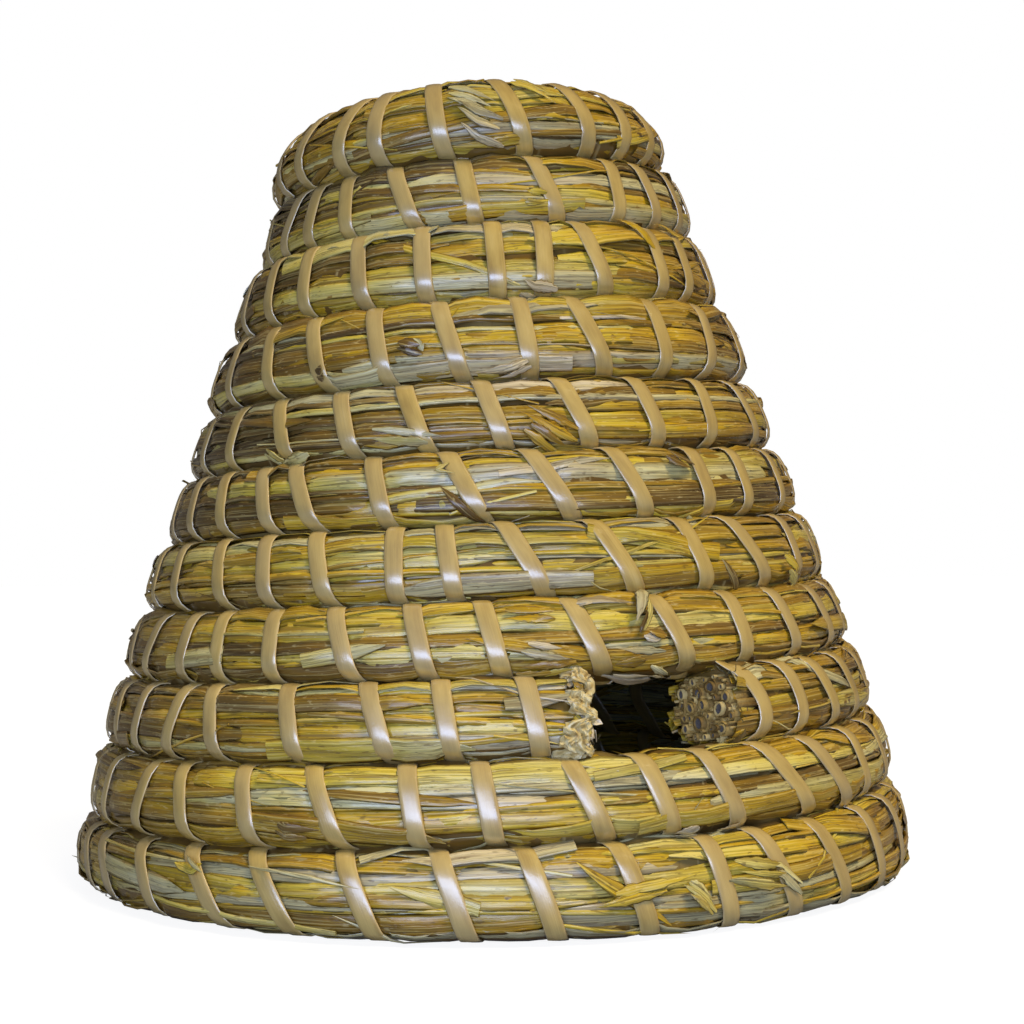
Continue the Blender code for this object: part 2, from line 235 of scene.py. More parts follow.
def course_stitches(course):
    """Turn and lean of each stitch of a course: those seen from the front, and the rest."""
    seen = SEEN_STITCHES[course]
    missing = ENTRANCE_RIGHT_OUTSIDE - ENTRANCE_LEFT if course == ENTRANCE_COURSE else 0
    spacing = (seen[-1] - seen[0] - missing) / (len(seen) - 1)
    right = evenly(seen[-1], 180 - SEAM_MARGIN, spacing)
    left = evenly(seen[0], SEAM_MARGIN - 180, spacing)
    in_front = [(turn_at(course, angle), lean) for angle, lean in zip(seen, SEEN_LEANS[course])]
    return sorted(in_front + [(turn_at(course, angle), USUAL_LEAN) for angle in (*left, *right)])


right_end = turn_at(ENTRANCE_COURSE, ENTRANCE_RIGHT_OUTSIDE)
left_end = turn_at(ENTRANCE_COURSE, ENTRANCE_LEFT)
end_slant = (ENTRANCE_RIGHT_OUTSIDE - ENTRANCE_RIGHT_INSIDE) / 360
on_crown = np.linspace(SEAM - 1, SEAM, CROWN_STITCHES + 2)[1:-1]
on_tail = np.linspace(TAIL_START, TAIL_END, TAIL_STITCHES + 2)[1:-1]
lengths = {"crown": (START_TURN, SEAM, [(turn, USUAL_LEAN) for turn in on_crown])}
for course in range(1, COURSES + 1):
    stitches = course_stitches(course)
    name = f"course_{course:02d}"
    if course == ENTRANCE_COURSE:
        before = [stitch for stitch in stitches if stitch[0] < right_end]
        after = [stitch for stitch in stitches if stitch[0] > left_end]
        lengths[name + "_right"] = (course - SEAM, right_end, before)
        lengths[name + "_left"] = (left_end, course + SEAM, after)
    else:
        lengths[name] = (course - SEAM, course + SEAM, stitches)
lengths["tail"] = (TAIL_START, TAIL_END, [(turn, USUAL_LEAN) for turn in on_tail])
every_stitch = sorted(stitch for first, last, stitches in lengths.values() for stitch in stitches)
ALL_STITCHES, ALL_LEANS = np.array(every_stitch).T


def strip_shift(around, turn):
    """How far along the rope a strip has moved on at this angle round it, in turns."""
    lean = np.interp(turn, ALL_STITCHES, ALL_LEANS) / 360 / 2
    beside_end = np.exp(-np.maximum(right_end - turn, 0) * 25) * (turn < right_end)
    curve = END_STITCH_CURVE * end_slant * (1 - np.cos(around)) / 2 * beside_end
    return lean * np.interp(around, np.radians([-90, -67, 67, 90]), [-1.1, -1, 1, 1.1]) + curve


def nearest_stitch(turn, around):
    """Distance along the rope to the nearest strip, in metres. The inside counts as between strips."""
    around = (np.asarray(around) + math.pi / 2) % (2 * math.pi) - math.pi / 2
    at = np.asarray(turn) - strip_shift(np.minimum(around, math.pi / 2), turn)
    after = np.clip(np.searchsorted(ALL_STITCHES, at), 1, len(ALL_STITCHES) - 1)
    gap = np.minimum(np.abs(at - ALL_STITCHES[after - 1]), np.abs(ALL_STITCHES[after] - at))
    return gap * 2 * math.pi * np.interp(turn, TURNS, SECTIONS[0])


# Stalks: dry stems 2 to 4 mm and flattened leaves 4 to 11 mm wide, a hand to a forearm long. They
# are laid along the rope in layers over a plain core, with shorter ones astray on top, and are
# pinched in where the cane crosses them.
PINCH = 0.0010
PINCH_REACH = 0.0055
SWELL = 0.0007
LUMPS = 8
LUMP_HEIGHT = 0.0012
LUMP_SHARE = 0.17  # share of the height that one of the waves has
LUMP_SPACING_RADIUS = 0.12  # lumps are as far apart on every course as on one of this radius
CORE_DEPTH = 0.0029
CORE_DEPTH_BETWEEN = -0.0005  # between two courses the cores touch, so that no light comes through
# The core's dark brown hue and low tone are painted shade, seen in the gaps between the stalks
CORE_HUE = 0.14
CORE_TONE = 0.1
PRESSED_OUT = 0.0007  # swelling where two courses meet
END_FLARE = 0.0014  # swelling beside the entrance, where the rope's ends are loose
END_FADE = 60  # the flare fades away in a turn divided by this
SHORTEST_STALK = 0.012
PATH_STEP = 0.012
CLOSEST_STEP = 0.0035
CLOSEST_TO_TIP = 0.003
TIP_LENGTH = 0.014
TIPS_CURL_OVER = 0.02
TIPS_DIVE = 0.0012
NARROW = (0.0016, 0.0036)  # least and greatest width of a stem, and of a leaf
LEAF = (0.0045, 0.0100)
# A hue runs from dark brown at 0 over gold to pale straw and weathered grey at 1.
COURSE_HUE = (0.45, 0.48, 0.36, 0.52, 0.46, 0.36, 0.50, 0.58, 0.48, 0.46, 0.54, 0.50)  # crown first
HUE_SPREAD = 0.145
WEATHERED_AND_SHEEN_HUE = 0.96
WEATHERED_AND_SHEEN = ((-60, -20, 20, 45), (0.08, 0.26, 0.26, 0.06))  # share of them by degrees to the right, raised at the front as painted sheen
# Change of hue by degrees to the right: paler at the front as painted sheen, darker towards the sides
# as painted shade
PAINTED_LIGHT_BY_SIDE = ((-90, -60, -30, 0, 18, 35, 65, 90), (0.0, -0.17, -0.07, 0.10, 0.07, -0.11, -0.19, 0.0))
# Painted shade and light: change of hue on the left and on the right side of each course, crown first,
# darker on the left as shade and mostly paler on the right
PAINTED_SIDE_SHADE_BY_COURSE = (
    (-0.08, 0.0), (-0.05, 0.02), (-0.22, 0.06), (-0.13, 0.0), (-0.15, 0.05), (-0.13, 0.12),
    (-0.19, 0.04), (-0.05, 0.10), (-0.14, 0.03), (-0.10, 0.08), (-0.10, 0.02), (-0.07, -0.02),
)
LUMP_SEED, STALK_SEED = 7, 900
random = np.random.default_rng(LUMP_SEED)
lump_waves = []
for wave in range(LUMPS):
    lump_waves.append((random.uniform(25, 110), random.integers(1, 4), random.uniform(0, 2 * math.pi)))


def sunk(turn, around):
    """How deep the straw lies under its usual skin: pinched under a strip and swollen between."""
    pinched = np.exp(-((nearest_stitch(turn, around) / PINCH_REACH) ** 2))
    metres = turn * 2 * math.pi * LUMP_SPACING_RADIUS
    lumps = sum(np.sin(metres * rate + around * turns + phase) for rate, turns, phase in lump_waves)
    between = np.sin(around) ** 4 * (np.cos(around) > -0.7)
    loose = np.exp(-np.maximum(right_end - turn, 0) * END_FADE) * (turn < right_end + 0.02)
    loose = loose + np.exp(-np.maximum(turn - left_end, 0) * END_FADE) * (turn > left_end - 0.02)
    swollen = SWELL + PRESSED_OUT * between + END_FLARE * loose - LUMP_HEIGHT * LUMP_SHARE * lumps
    return PINCH * pinched - swollen * (1 - pinched)


def face_end(around):
    """Turn where the rope's cut end is, right of the entrance: further on along the inside."""
    return right_end + end_slant * (1 - np.cos(around)) / 2


def stalk_path(first, last, around, drift, deep, half_width, lift=0.0, tips=(0.5, 0.5)):
    """Points along one stalk, close together where strips cross it. None if it is too short."""
    middle = (first + last) / 2
    if last - first < turns_long(SHORTEST_STALK, middle):
        return None
    crossed = ALL_STITCHES[(ALL_STITCHES > first) & (ALL_STITCHES < last)]
    crossed = crossed + strip_shift((around + math.pi / 2) % (2 * math.pi) - math.pi / 2, crossed)
    pinch = turns_long(PINCH_REACH, middle)
    steps = np.arange(first, last, turns_long(PATH_STEP, middle))
    places = np.concatenate([[first, last], crossed - pinch, crossed, crossed + pinch, steps])
    places = np.sort(places[(places >= first) & (places <= last)])
    spaced = [places[0]]
    for place in places[1:-1]:
        clear = place - spaced[-1] > turns_long(CLOSEST_STEP, middle)
        if clear and last - place > turns_long(CLOSEST_TO_TIP, middle):
            spaced.append(place)
    spaced = np.array([*spaced, last])
    if len(spaced) < 3:
        return None
    run = (spaced - first) / (last - first)
    metres = (spaced - first) / turns_long(1.0, middle)
    to_end = np.minimum(metres, metres[-1] - metres)
    sway = 0.035 * np.sin(metres * random.uniform(15, 60) + random.uniform(0, 6))
    angles = around + drift * (run - 0.5) + sway
    clear_of_strip = 1 - np.exp(-((nearest_stitch(spaced, angles) / 0.006) ** 2))
    raised = lift * clear_of_strip * np.exp(-to_end / TIPS_CURL_OVER)
    dive = TIPS_DIVE * np.exp(-to_end / (TIP_LENGTH / 2)) if lift == 0 else 0.0
    point, outward = rope_skin(spaced, angles, deep + dive + sunk(spaced, angles) - raised)
    roll = random.normal(0, 0.20) + random.normal(0, 0.3) * (run - 0.5)
    outward = rolled(point, outward, roll * clear_of_strip)
    narrowed = np.interp(metres, [0, TIP_LENGTH], [tips[0], 1])
    narrowed = narrowed * np.interp(metres[-1] - metres, [0, TIP_LENGTH], [tips[1], 1])
    return point, outward, half_width * narrowed * (1 + 0.12 * np.sin(metres * 45 + around * 9))


def rolled(point, outward, angle):
    """Outward directions turned about the path by this angle."""
    ahead = np.gradient(point, axis=0)
    ahead /= np.linalg.norm(ahead, axis=1, keepdims=True) + 1e-12
    aside = np.cross(ahead, outward)
    angle = np.broadcast_to(angle, len(point))[:, None]
    return outward * np.cos(angle) + aside * np.sin(angle)


def to_right(first, last):
    """Angle of the middle of a length of rope, from the front towards the right in degrees."""
    point = rope_skin((first + last) / 2, 0.0)[0]
    return math.degrees(math.atan2(point[0], -point[1]))


def lay_layer(span, long, hue, deep, uneven, widths, leafy, overlap, drift, cover=1.0, lift=0.0):
    """Stalks of one layer of a stretch of rope: lanes side by side, each laid end to end.

    The widths are those of stems and of leaves, leafy is the share of leaves, and drift how far
    round the rope a stalk strays. Under a full cover the lanes leave gaps, and a lift raises tips.
    """
    first, last, cut = span
    closed = cover > 0.99
    middle = (first + last) / 2
    ring = np.linspace(0, 2 * math.pi, 121)
    sides = np.linalg.norm(np.diff(rope_skin(middle, ring)[0], axis=0), axis=1)
    gone_round = np.concatenate([[0], np.cumsum(sides)])
    stalks = []
    lanes = []
    while sum(lanes) * (1 - overlap) < gone_round[-1] * cover:
        chosen = widths[1] if random.random() < leafy else widths[0]
        lanes.append(random.uniform(*chosen))
    room = gone_round[-1] / sum(lanes)
    place = random.uniform(0, gone_round[-1])
    for width in lanes:
        place += width * room / 2
        around = float(np.interp(place % gone_round[-1], gone_round, ring))
        at = first - turns_long(random.uniform(0, long[1]), first)
        while at < last:
            end = at + turns_long(random.uniform(*long), max(at, START_TURN + 0.3))
            start = max(at, first + turns_long(random.uniform(-0.001, 0.003), first))
            rope_end = face_end(around) if cut else last
            stop = min(end, rope_end + turns_long(random.uniform(-0.002, 0.001), last))
            tips = (0.5, 0.5) if lift == 0 else [random.choice([0.08, 0.9]) for tip in range(2)]
            if closed or random.random() < 0.75:
                wide = width * random.uniform(0.85, 1.15)
                askew = random.normal(0, drift) * min(1.0, 0.0045 / wide)
                path = stalk_path(
                    start, stop, around + random.normal(0, 0.04), askew,
                    deep + random.uniform(0, uneven), wide / 2, lift * random.random() ** 2, tips,
                )
                if path is not None:
                    # Grey stalks, more of them at the front: partly weathered leaves, partly painted
                    # sheen
                    if random.random() < np.interp(to_right(start, stop), *WEATHERED_AND_SHEEN):
                        shade = random.normal(WEATHERED_AND_SHEEN_HUE, 0.06)
                    else:
                        shade = np.clip(random.normal(hue, HUE_SPREAD), 0, 1)
                    stalks.append((*path, shade, wide > widths[0][1]))
            overlapped = random.uniform(0.002, 0.012) if closed else -random.uniform(0.01, 0.1)
            at = end - turns_long(overlapped, end)
        place += width * room / 2
    return stalks


class Value:
    """A socket of a node tree. Sums on it add Math nodes, and node() adds any other node."""

    def __init__(self, tree, socket=None):
        self.tree = tree
        self.socket = socket

    def node(self, kind, settings=None, values=None, out=0):
        """One output of a new node with these settings, and these values or links on its inputs."""
        made = self.tree.nodes.new(kind)
        for name, setting in (settings or {}).items():
            if name == "stops":
                ramp = made.color_ramp
                while len(ramp.elements) < len(setting):
                    ramp.elements.new(1.0)
                for element, (place, colour) in zip(ramp.elements, setting):
                    element.position = place
                    element.color = (*colour, 1.0)
            else:
                setattr(made, name, setting)
        for name, value in (values or {}).items():
            if isinstance(value, Value):
                self.tree.links.new(value.socket, made.inputs[name])
            else:
                made.inputs[name].default_value = value
        return Value(self.tree, made.outputs[out])

    def maths(self, operation, one, other=0.0):
        return self.node("ShaderNodeMath", {"operation": operation}, {0: one, 1: other})

    def __add__(self, other):
        return self.maths("ADD", self, other)

    def __radd__(self, other):
        return self.maths("ADD", other, self)

    def __sub__(self, other):
        return self.maths("SUBTRACT", self, other)

    def __rsub__(self, other):
        return self.maths("SUBTRACT", other, self)

    def __mul__(self, other):
        return self.maths("MULTIPLY", self, other)

    def __rmul__(self, other):
        return self.maths("MULTIPLY", other, self)

    def __truediv__(self, other):
        return self.maths("DIVIDE", self, other)

    def __rtruediv__(self, other):
        return self.maths("DIVIDE", other, self)

    def __abs__(self):
        return self.maths("ABSOLUTE", self)

    def clamp(self):
        return self.node("ShaderNodeClamp", None, {"Value": self})

    def beside(self, name):
        """Another output of the node that this one comes from."""
        return Value(self.tree, self.socket.node.outputs[name])

    def attribute(self, name):
        return self.node("ShaderNodeAttribute", {"attribute_name": name}, None, "Fac")

    def noise(self, vector, scale, detail):
        values = {"Vector": vector, "Scale": scale, "Detail": detail}
        return self.node("ShaderNodeTexNoise", None, values)

    def object_noise(self, scale, detail):
        """Noise that lies in the object's own space."""
        return self.noise(self.node("ShaderNodeTexCoord", None, None, "Object"), scale, detail)

    def vector(self, x, y, z):
        return self.node("ShaderNodeCombineXYZ", None, {"X": x, "Y": y, "Z": z})

    def ramp(self, stops):
        """Colour or grey for this value, between stops that each give a place and a colour or grey."""
        stops = [(place, (c, c, c) if isinstance(c, (int, float)) else c) for place, c in stops]
        return self.node("ShaderNodeValToRGB", {"stops": stops}, {"Fac": self})

    def mix(self, one, other):
        """One colour turned into the other by this much."""
        colours = [(*colour, 1.0) if isinstance(colour, tuple) else colour for colour in (one, other)]
        values = {0: self, 6: colours[0], 7: colours[1]}
        return self.node("ShaderNodeMix", {"data_type": "RGBA"}, values, 2)

    def named(self, name, data_type="FLOAT"):
        """What the points of a geometry have stored under this name."""
        return self.node("GeometryNodeInputNamedAttribute", {"data_type": data_type}, {"Name": name})

    def stored(self, name, value):
        """This geometry with a value stored on its points."""
        settings = {"data_type": "FLOAT", "domain": "POINT"}
        values = {"Geometry": self, "Name": name, "Value": value}
        return self.node("GeometryNodeStoreNamedAttribute", settings, values)

    def joined(self, *others):
        """This geometry and others as one."""
        made = self.node("GeometryNodeJoinGeometry", None, {"Geometry": self})
        for other in others:
            self.tree.links.new(other.socket, made.socket.node.inputs["Geometry"])
        return made

    def finish(self, material, name):
        """Ends a tree of geometry nodes in plain faces of this material."""
        real = self.node("GeometryNodeRealizeInstances", None, {"Geometry": self})
        covered = self.node("GeometryNodeSetMaterial", None, {"Geometry": real, "Material": material})
        self.tree.links.new(covered.socket, self.tree.nodes.new("NodeGroupOutput").inputs[name])


def new_material(name):
    """A material, its shader and its tree."""
    material = bpy.data.materials.new(name)
    material.use_nodes = True
    return material, material.node_tree.nodes["Principled BSDF"], Value(material.node_tree)


def connect(shader, name, value):
    """Lets this value drive one of the shader's inputs."""
    value.tree.links.new(value.socket, shader.inputs[name])


def connect_bump(shader, strength, distance, height):
    """Lets this height, in the given distance, dent the shader's surface."""
    values = {"Strength": strength, "Distance": distance, "Height": height}
    connect(shader, "Normal", height.node("ShaderNodeBump", None, values))


def size_tree(name, source, result, sizes):
    """A tree of geometry nodes: its group, its tree, its inputs by name, and its sizes' sockets."""
    group = bpy.data.node_groups.new(name, "GeometryNodeTree")
    group.interface.new_socket(source, in_out="INPUT", socket_type="NodeSocketGeometry")
    sockets = {}
    for size, value in sizes.items():
        kind = "NodeSocketInt" if isinstance(value, int) else "NodeSocketFloat"
        entry = group.interface.new_socket(size, in_out="INPUT", socket_type=kind)
        entry.default_value = value
        sockets[size] = entry.identifier
    group.interface.new_socket(result, in_out="OUTPUT", socket_type="NodeSocketGeometry")
    outputs = group.nodes.new("NodeGroupInput").outputs
    return group, Value(group), {output.name: Value(group, output) for output in outputs}, sockets


straw, shader, tree = new_material("straw")
along = tree.attribute("along")
across = tree.attribute("across")
tone = tree.attribute("tone")
hue = tree.attribute("hue")
aside = across * tree.attribute("half_width")


def stalk_noise(along_scale, aside_scale, tone_shift, tone_depth, detail):
    """Noise drawn out along a stalk, and another one on each stalk."""
    place = tree.vector(along * along_scale + tone * tone_shift, aside * aside_scale, tone * tone_depth)
    return tree.noise(place, 1.0, detail)


patches = stalk_noise(14.0, 120.0, 310.0, 97.0, 4.0)
streaks = stalk_noise(9.0, 420.0, 130.0, 61.0, 4.0)
fibres = stalk_noise(24.0, 1500.0, 130.0, 31.0, 2.0)
flecks = stalk_noise(230.0, 750.0, 90.0, 17.0, 2.0)
ripples = stalk_noise(75.0, 300.0, 210.0, 43.0, 3.0)
damp = tree.object_noise(38.0, 3.0)
kind = ((hue + patches * 0.55 + damp * 0.30 + streaks * 0.15 - 0.5) * 0.8).clamp()
colour = kind.ramp([
    (0.0, (0.070, 0.036, 0.007)),
    (0.12, (0.19, 0.100, 0.010)),
    (0.24, (0.36, 0.200, 0.009)),
    (0.36, (0.54, 0.325, 0.010)),
    (0.48, (0.60, 0.44, 0.040)),
    (0.60, (0.62, 0.51, 0.14)),
    (0.70, (0.60, 0.54, 0.28)),
    (0.80, (0.44, 0.38, 0.20)),
    (0.90, (0.57, 0.46, 0.27)),
    (1.0, (0.68, 0.58, 0.41)),
])
colour = (0.75 + tone * 0.5).mix((0.0, 0.0, 0.0), colour)
dark_streak = streaks.ramp([(0.38, 1.0), (0.45, 0.0)])
# Thin cracks along each stalk, dented by the bump and painted near black as shade in them
shaded_crack = abs(streaks - 0.5).ramp([(0.004, 1.0), (0.016, 0.0)])
for mark, share, mark_colour in (
    (dark_streak, 0.48, (0.13, 0.075, 0.016)),
    (fibres.ramp([(0.53, 0.0), (0.60, 1.0)]), 0.30, (0.72, 0.58, 0.22)),
    (fibres.ramp([(0.40, 1.0), (0.46, 0.0)]), 0.42, (0.16, 0.10, 0.03)),
    (shaded_crack, 0.5, (0.06, 0.032, 0.008)),
    # darker edges of each stalk: painted shade where it meets its neighbours
    (abs(across).ramp([(0.78, 0.0), (0.98, 1.0)]), 0.5, (0.12, 0.07, 0.02)),
    (flecks.ramp([(0.30, 1.0), (0.37, 0.0)]), 0.55, (0.10, 0.055, 0.014)),
    (flecks.ramp([(0.63, 0.0), (0.70, 1.0)]), 0.32, (0.74, 0.60, 0.27)),
):
    colour = (mark * share).mix(colour, mark_colour)
connect(shader, "Base Color", colour)
connect(shader, "Roughness", 0.20 + patches * 0.2 + dark_streak * 0.2)
height = streaks * 0.8 + fibres * 0.6 - shaded_crack * 0.4 + ripples * 1.6
connect_bump(shader, 0.7, 0.0006, height)
shader.inputs["Specular IOR Level"].default_value = 0.5
shader.inputs["Coat Weight"].default_value = 0.5
shader.inputs["Coat Roughness"].default_value = 0.14

STALK_CORNERS = 8
sizes = {"Leaf thickness": 0.08, "Leaf arch": 0.14, "Stem thickness": 0.65, "Corners": STALK_CORNERS}
lay_straw, tree, given, straw_sockets = size_tree("lay_straw", "Paths", "Straw", sizes)


def as_curves(paths):
    """Paths as curves that face outwards and know how far along they are."""
    curves = paths.node("GeometryNodeMeshToCurve", None, {"Mesh": paths})
    curves = curves.node("GeometryNodeRemoveAttribute", None, {"Geometry": curves, "Name": "across"})
    values = {"Curve": curves, "Normal": curves.named("outward", "FLOAT_VECTOR")}
    curves = curves.node("GeometryNodeSetCurveNormal", {"mode": "FREE"}, values)
    return curves.stored("along", curves.node("GeometryNodeSplineParameter", None, None, "Length"))


def section(tree, corners, shape):
    """A ring of one radius, whose places across are kept, given another shape."""
    ring = tree.node("GeometryNodeCurvePrimitiveCircle", None, {"Resolution": corners, "Radius": 1.0})
    place = tree.node("GeometryNodeInputPosition")
    upward = tree.node("ShaderNodeSeparateXYZ", None, {"Vector": place})
    sideways = upward.beside("Y")
    values = {"Geometry": ring.stored("across", sideways), "Position": shape(upward, sideways)}
    return tree.node("GeometryNodeSetPosition", None, values)


def swept(paths, thickness, arch):
    """Paths given a body: a lens-shaped section whose middle stands higher than its edges."""

    def lens(upward, sideways):
        return tree.vector(upward * thickness - arch * sideways * sideways, sideways, 0.0)

    values = {"Curve": as_curves(paths), "Profile Curve": section(tree, given["Corners"], lens)}
    values.update({"Scale": tree.named("half_width"), "Fill Caps": True})
    return tree.node("GeometryNodeCurveToMesh", None, values)


def split(geometry, name):
    """The points that are marked with this name, and the others."""
    chosen = {"Geometry": geometry, "Selection": tree.named(name, "BOOLEAN")}
    made = tree.node("GeometryNodeSeparateGeometry", {"domain": "POINT"}, chosen)
    return made, made.beside("Inverted")


core, stalks_only = split(given["Paths"], "core")
leaves, stems = split(stalks_only, "leaf")
leaves = swept(leaves, given["Leaf thickness"], given["Leaf arch"])
stems = swept(stems, given["Stem thickness"], 0.0)
smooth = tree.node("GeometryNodeSetShadeSmooth", None, {"Geometry": leaves.joined(stems, core)})
smooth.finish(straw, "Straw")

CORE_SIDES = 30
CORE_STEP = 0.007


def ring_faces(rings, sides):
    """Faces of a tube of rings, with a cap on each end."""
    faces = []
    for ring in range(rings - 1):
        here, there = ring * sides, (ring + 1) * sides
        for side in range(sides):
            after = (side + 1) % sides
            faces.append((here + side, here + after, there + after, there + side))
    last = (rings - 1) * sides
    return [*faces, tuple(range(sides))[::-1], tuple(range(last, last + sides))]


def core_mesh(first, last, cut):
    """Rings of the rope's core, from end to end, with their faces and closing caps."""
    count = max(round((last - first) / turns_long(CORE_STEP, (first + last) / 2)), 3)
    sides = CORE_SIDES
    angles = np.linspace(0, 2 * math.pi, sides, endpoint=False)[None, :]
    run = np.linspace(0, 1, count + 1)[:, None]
    ends = face_end(angles) - turns_long(0.004, last) if cut else np.full(angles.shape, last)
    rows = first + (ends - first) * run
    deep = CORE_DEPTH + (CORE_DEPTH_BETWEEN - CORE_DEPTH) * np.sin(angles) ** 8
    point, _ = rope_skin(rows, angles, deep + sunk(rows, angles))
    along = np.broadcast_to(run * (last - first) / turns_long(1.0, first), rows.shape)
    across = np.tile(np.linspace(-9, 9, sides), count + 1)
    return point.reshape(-1, 3), ring_faces(count + 1, sides), along.ravel(), across


def give(mesh, rows):
    """Attributes on the points of a mesh, by name."""
    for name, values in rows.items():
        kind = "FLOAT_VECTOR" if values.ndim == 2 else "BOOLEAN" if values.dtype == bool else "FLOAT"
        made = mesh.attributes.new(name, kind, "POINT")
        made.data.foreach_set("vector" if kind == "FLOAT_VECTOR" else "value", values.ravel())


def straw_piece(name, first, last, cut, stalks, sides):
    """One stretch of the rope: its core and its stalks, as one mesh."""
    points, core_faces, core_along, core_across = core_mesh(first, last, cut)
    start = len(points)
    rows = {
        "outward": [np.zeros((start, 3))],
        "half_width": [np.zeros(start)],
        "tone": [np.full(start, CORE_TONE)],
        "hue": [np.full(start, CORE_HUE)],
        "core": [np.ones(start, bool)],
        "leaf": [np.zeros(start, bool)],
    }
    points = [points]
    edges = []
    for point, outward, half_width, hue, leaf in stalks:
        count = len(point)
        points.append(point)
        rows["outward"].append(outward)
        rows["half_width"].append(half_width)
        rows["tone"].append(np.full(count, random.random()))
        from_front = np.degrees(np.arctan2(point[:, 0], -point[:, 1]))
        # The hue of each stalk is shifted by side: painted shade on the left, painted light on the
        # right
        painted_side_shade = np.interp(from_front, (-60, -20, 5, 45), (sides[0], sides[0] * 0.7, 0, sides[1]))
        # painted sheen at the front and painted shade towards the sides are added to the hue here
        rows["hue"].append(hue + painted_side_shade + np.interp(from_front, *PAINTED_LIGHT_BY_SIDE))
        rows["core"].append(np.zeros(count, bool))
        rows["leaf"].append(np.full(count, leaf))
        here = np.arange(start, start + count - 1)
        edges.append(np.stack([here, here + 1], 1))
        start += count
    rows["along"] = [core_along, np.zeros(start - len(core_along))]
    rows["across"] = [core_across, np.zeros(start - len(core_along))]
    mesh = bpy.data.meshes.new(name)
    mesh.from_pydata(np.concatenate(points), np.concatenate(edges), core_faces)
    give(mesh, {attribute: np.concatenate(values) for attribute, values in rows.items()})
    return grown(mesh, lay_straw, {straw_sockets["Corners"]: STALK_CORNERS})


PRESSED_FLAT = 0.003  # height up to which what is near the ground is pressed above it


def grown(mesh, nodes, values):
    """A plain mesh object of what the nodes make of this mesh, pressed flat where it stands."""
    paths = bpy.data.objects.new(mesh.name + "_paths", mesh)
    bpy.context.scene.collection.objects.link(paths)
    modifier = paths.modifiers.new("grow", "NODES")
    modifier.node_group = nodes
    for socket, value in values.items():
        modifier[socket] = value
    evaluated = paths.evaluated_get(bpy.context.evaluated_depsgraph_get())
    piece = bpy.data.objects.new(mesh.name, bpy.data.meshes.new_from_object(evaluated))
    bpy.context.scene.collection.objects.link(piece)
    bpy.data.objects.remove(paths)
    places = np.empty(len(piece.data.vertices) * 3)
    piece.data.vertices.foreach_get("co", places)
    heights = places[2::3]
    pressed = PRESSED_FLAT * np.exp(np.minimum(heights - PRESSED_FLAT, 0) / PRESSED_FLAT)
    places[2::3] = np.maximum(heights, pressed)
    piece.data.vertices.foreach_set("co", places)
    return piece


def rope_stalks(span, hue):
    """All stalks of one stretch of rope, from the deepest layer to the loose ones on top."""
    long = (0.10, 0.30) if span[1] > 1 else (0.05, 0.14)
    # The deepest layer is given a darker hue: painted shade under the layers above it
    stalks = lay_layer(
        span, long, hue - 0.16, deep=0.0027, uneven=0.0008,
        widths=(NARROW, (0.005, 0.008)), leafy=1.0, overlap=0.1, drift=0.12,
    )
    stalks += lay_layer(
        span, long, hue, deep=0.0009, uneven=0.0013,
        widths=(NARROW, LEAF), leafy=0.62, overlap=0.30, drift=0.30,
    )
    crossing, wisps = ((0.0012, 0.0024), (0.0030, 0.0100)), ((0.0005, 0.0011), (0.0012, 0.0018))
    stalks += lay_layer(
        span, (0.025, 0.09), hue + 0.03, deep=0.0001, uneven=0.0004,
        widths=crossing, leafy=0.72, overlap=0.0, drift=0.75, cover=0.44, lift=0.0010,
    )
    stalks += lay_layer(
        span, (0.02, 0.09), hue + 0.1, deep=0.0003, uneven=0.0004,
        widths=wisps, leafy=0.30, overlap=0.0, drift=0.9, cover=0.05, lift=0.0034,
    )
    return stalks


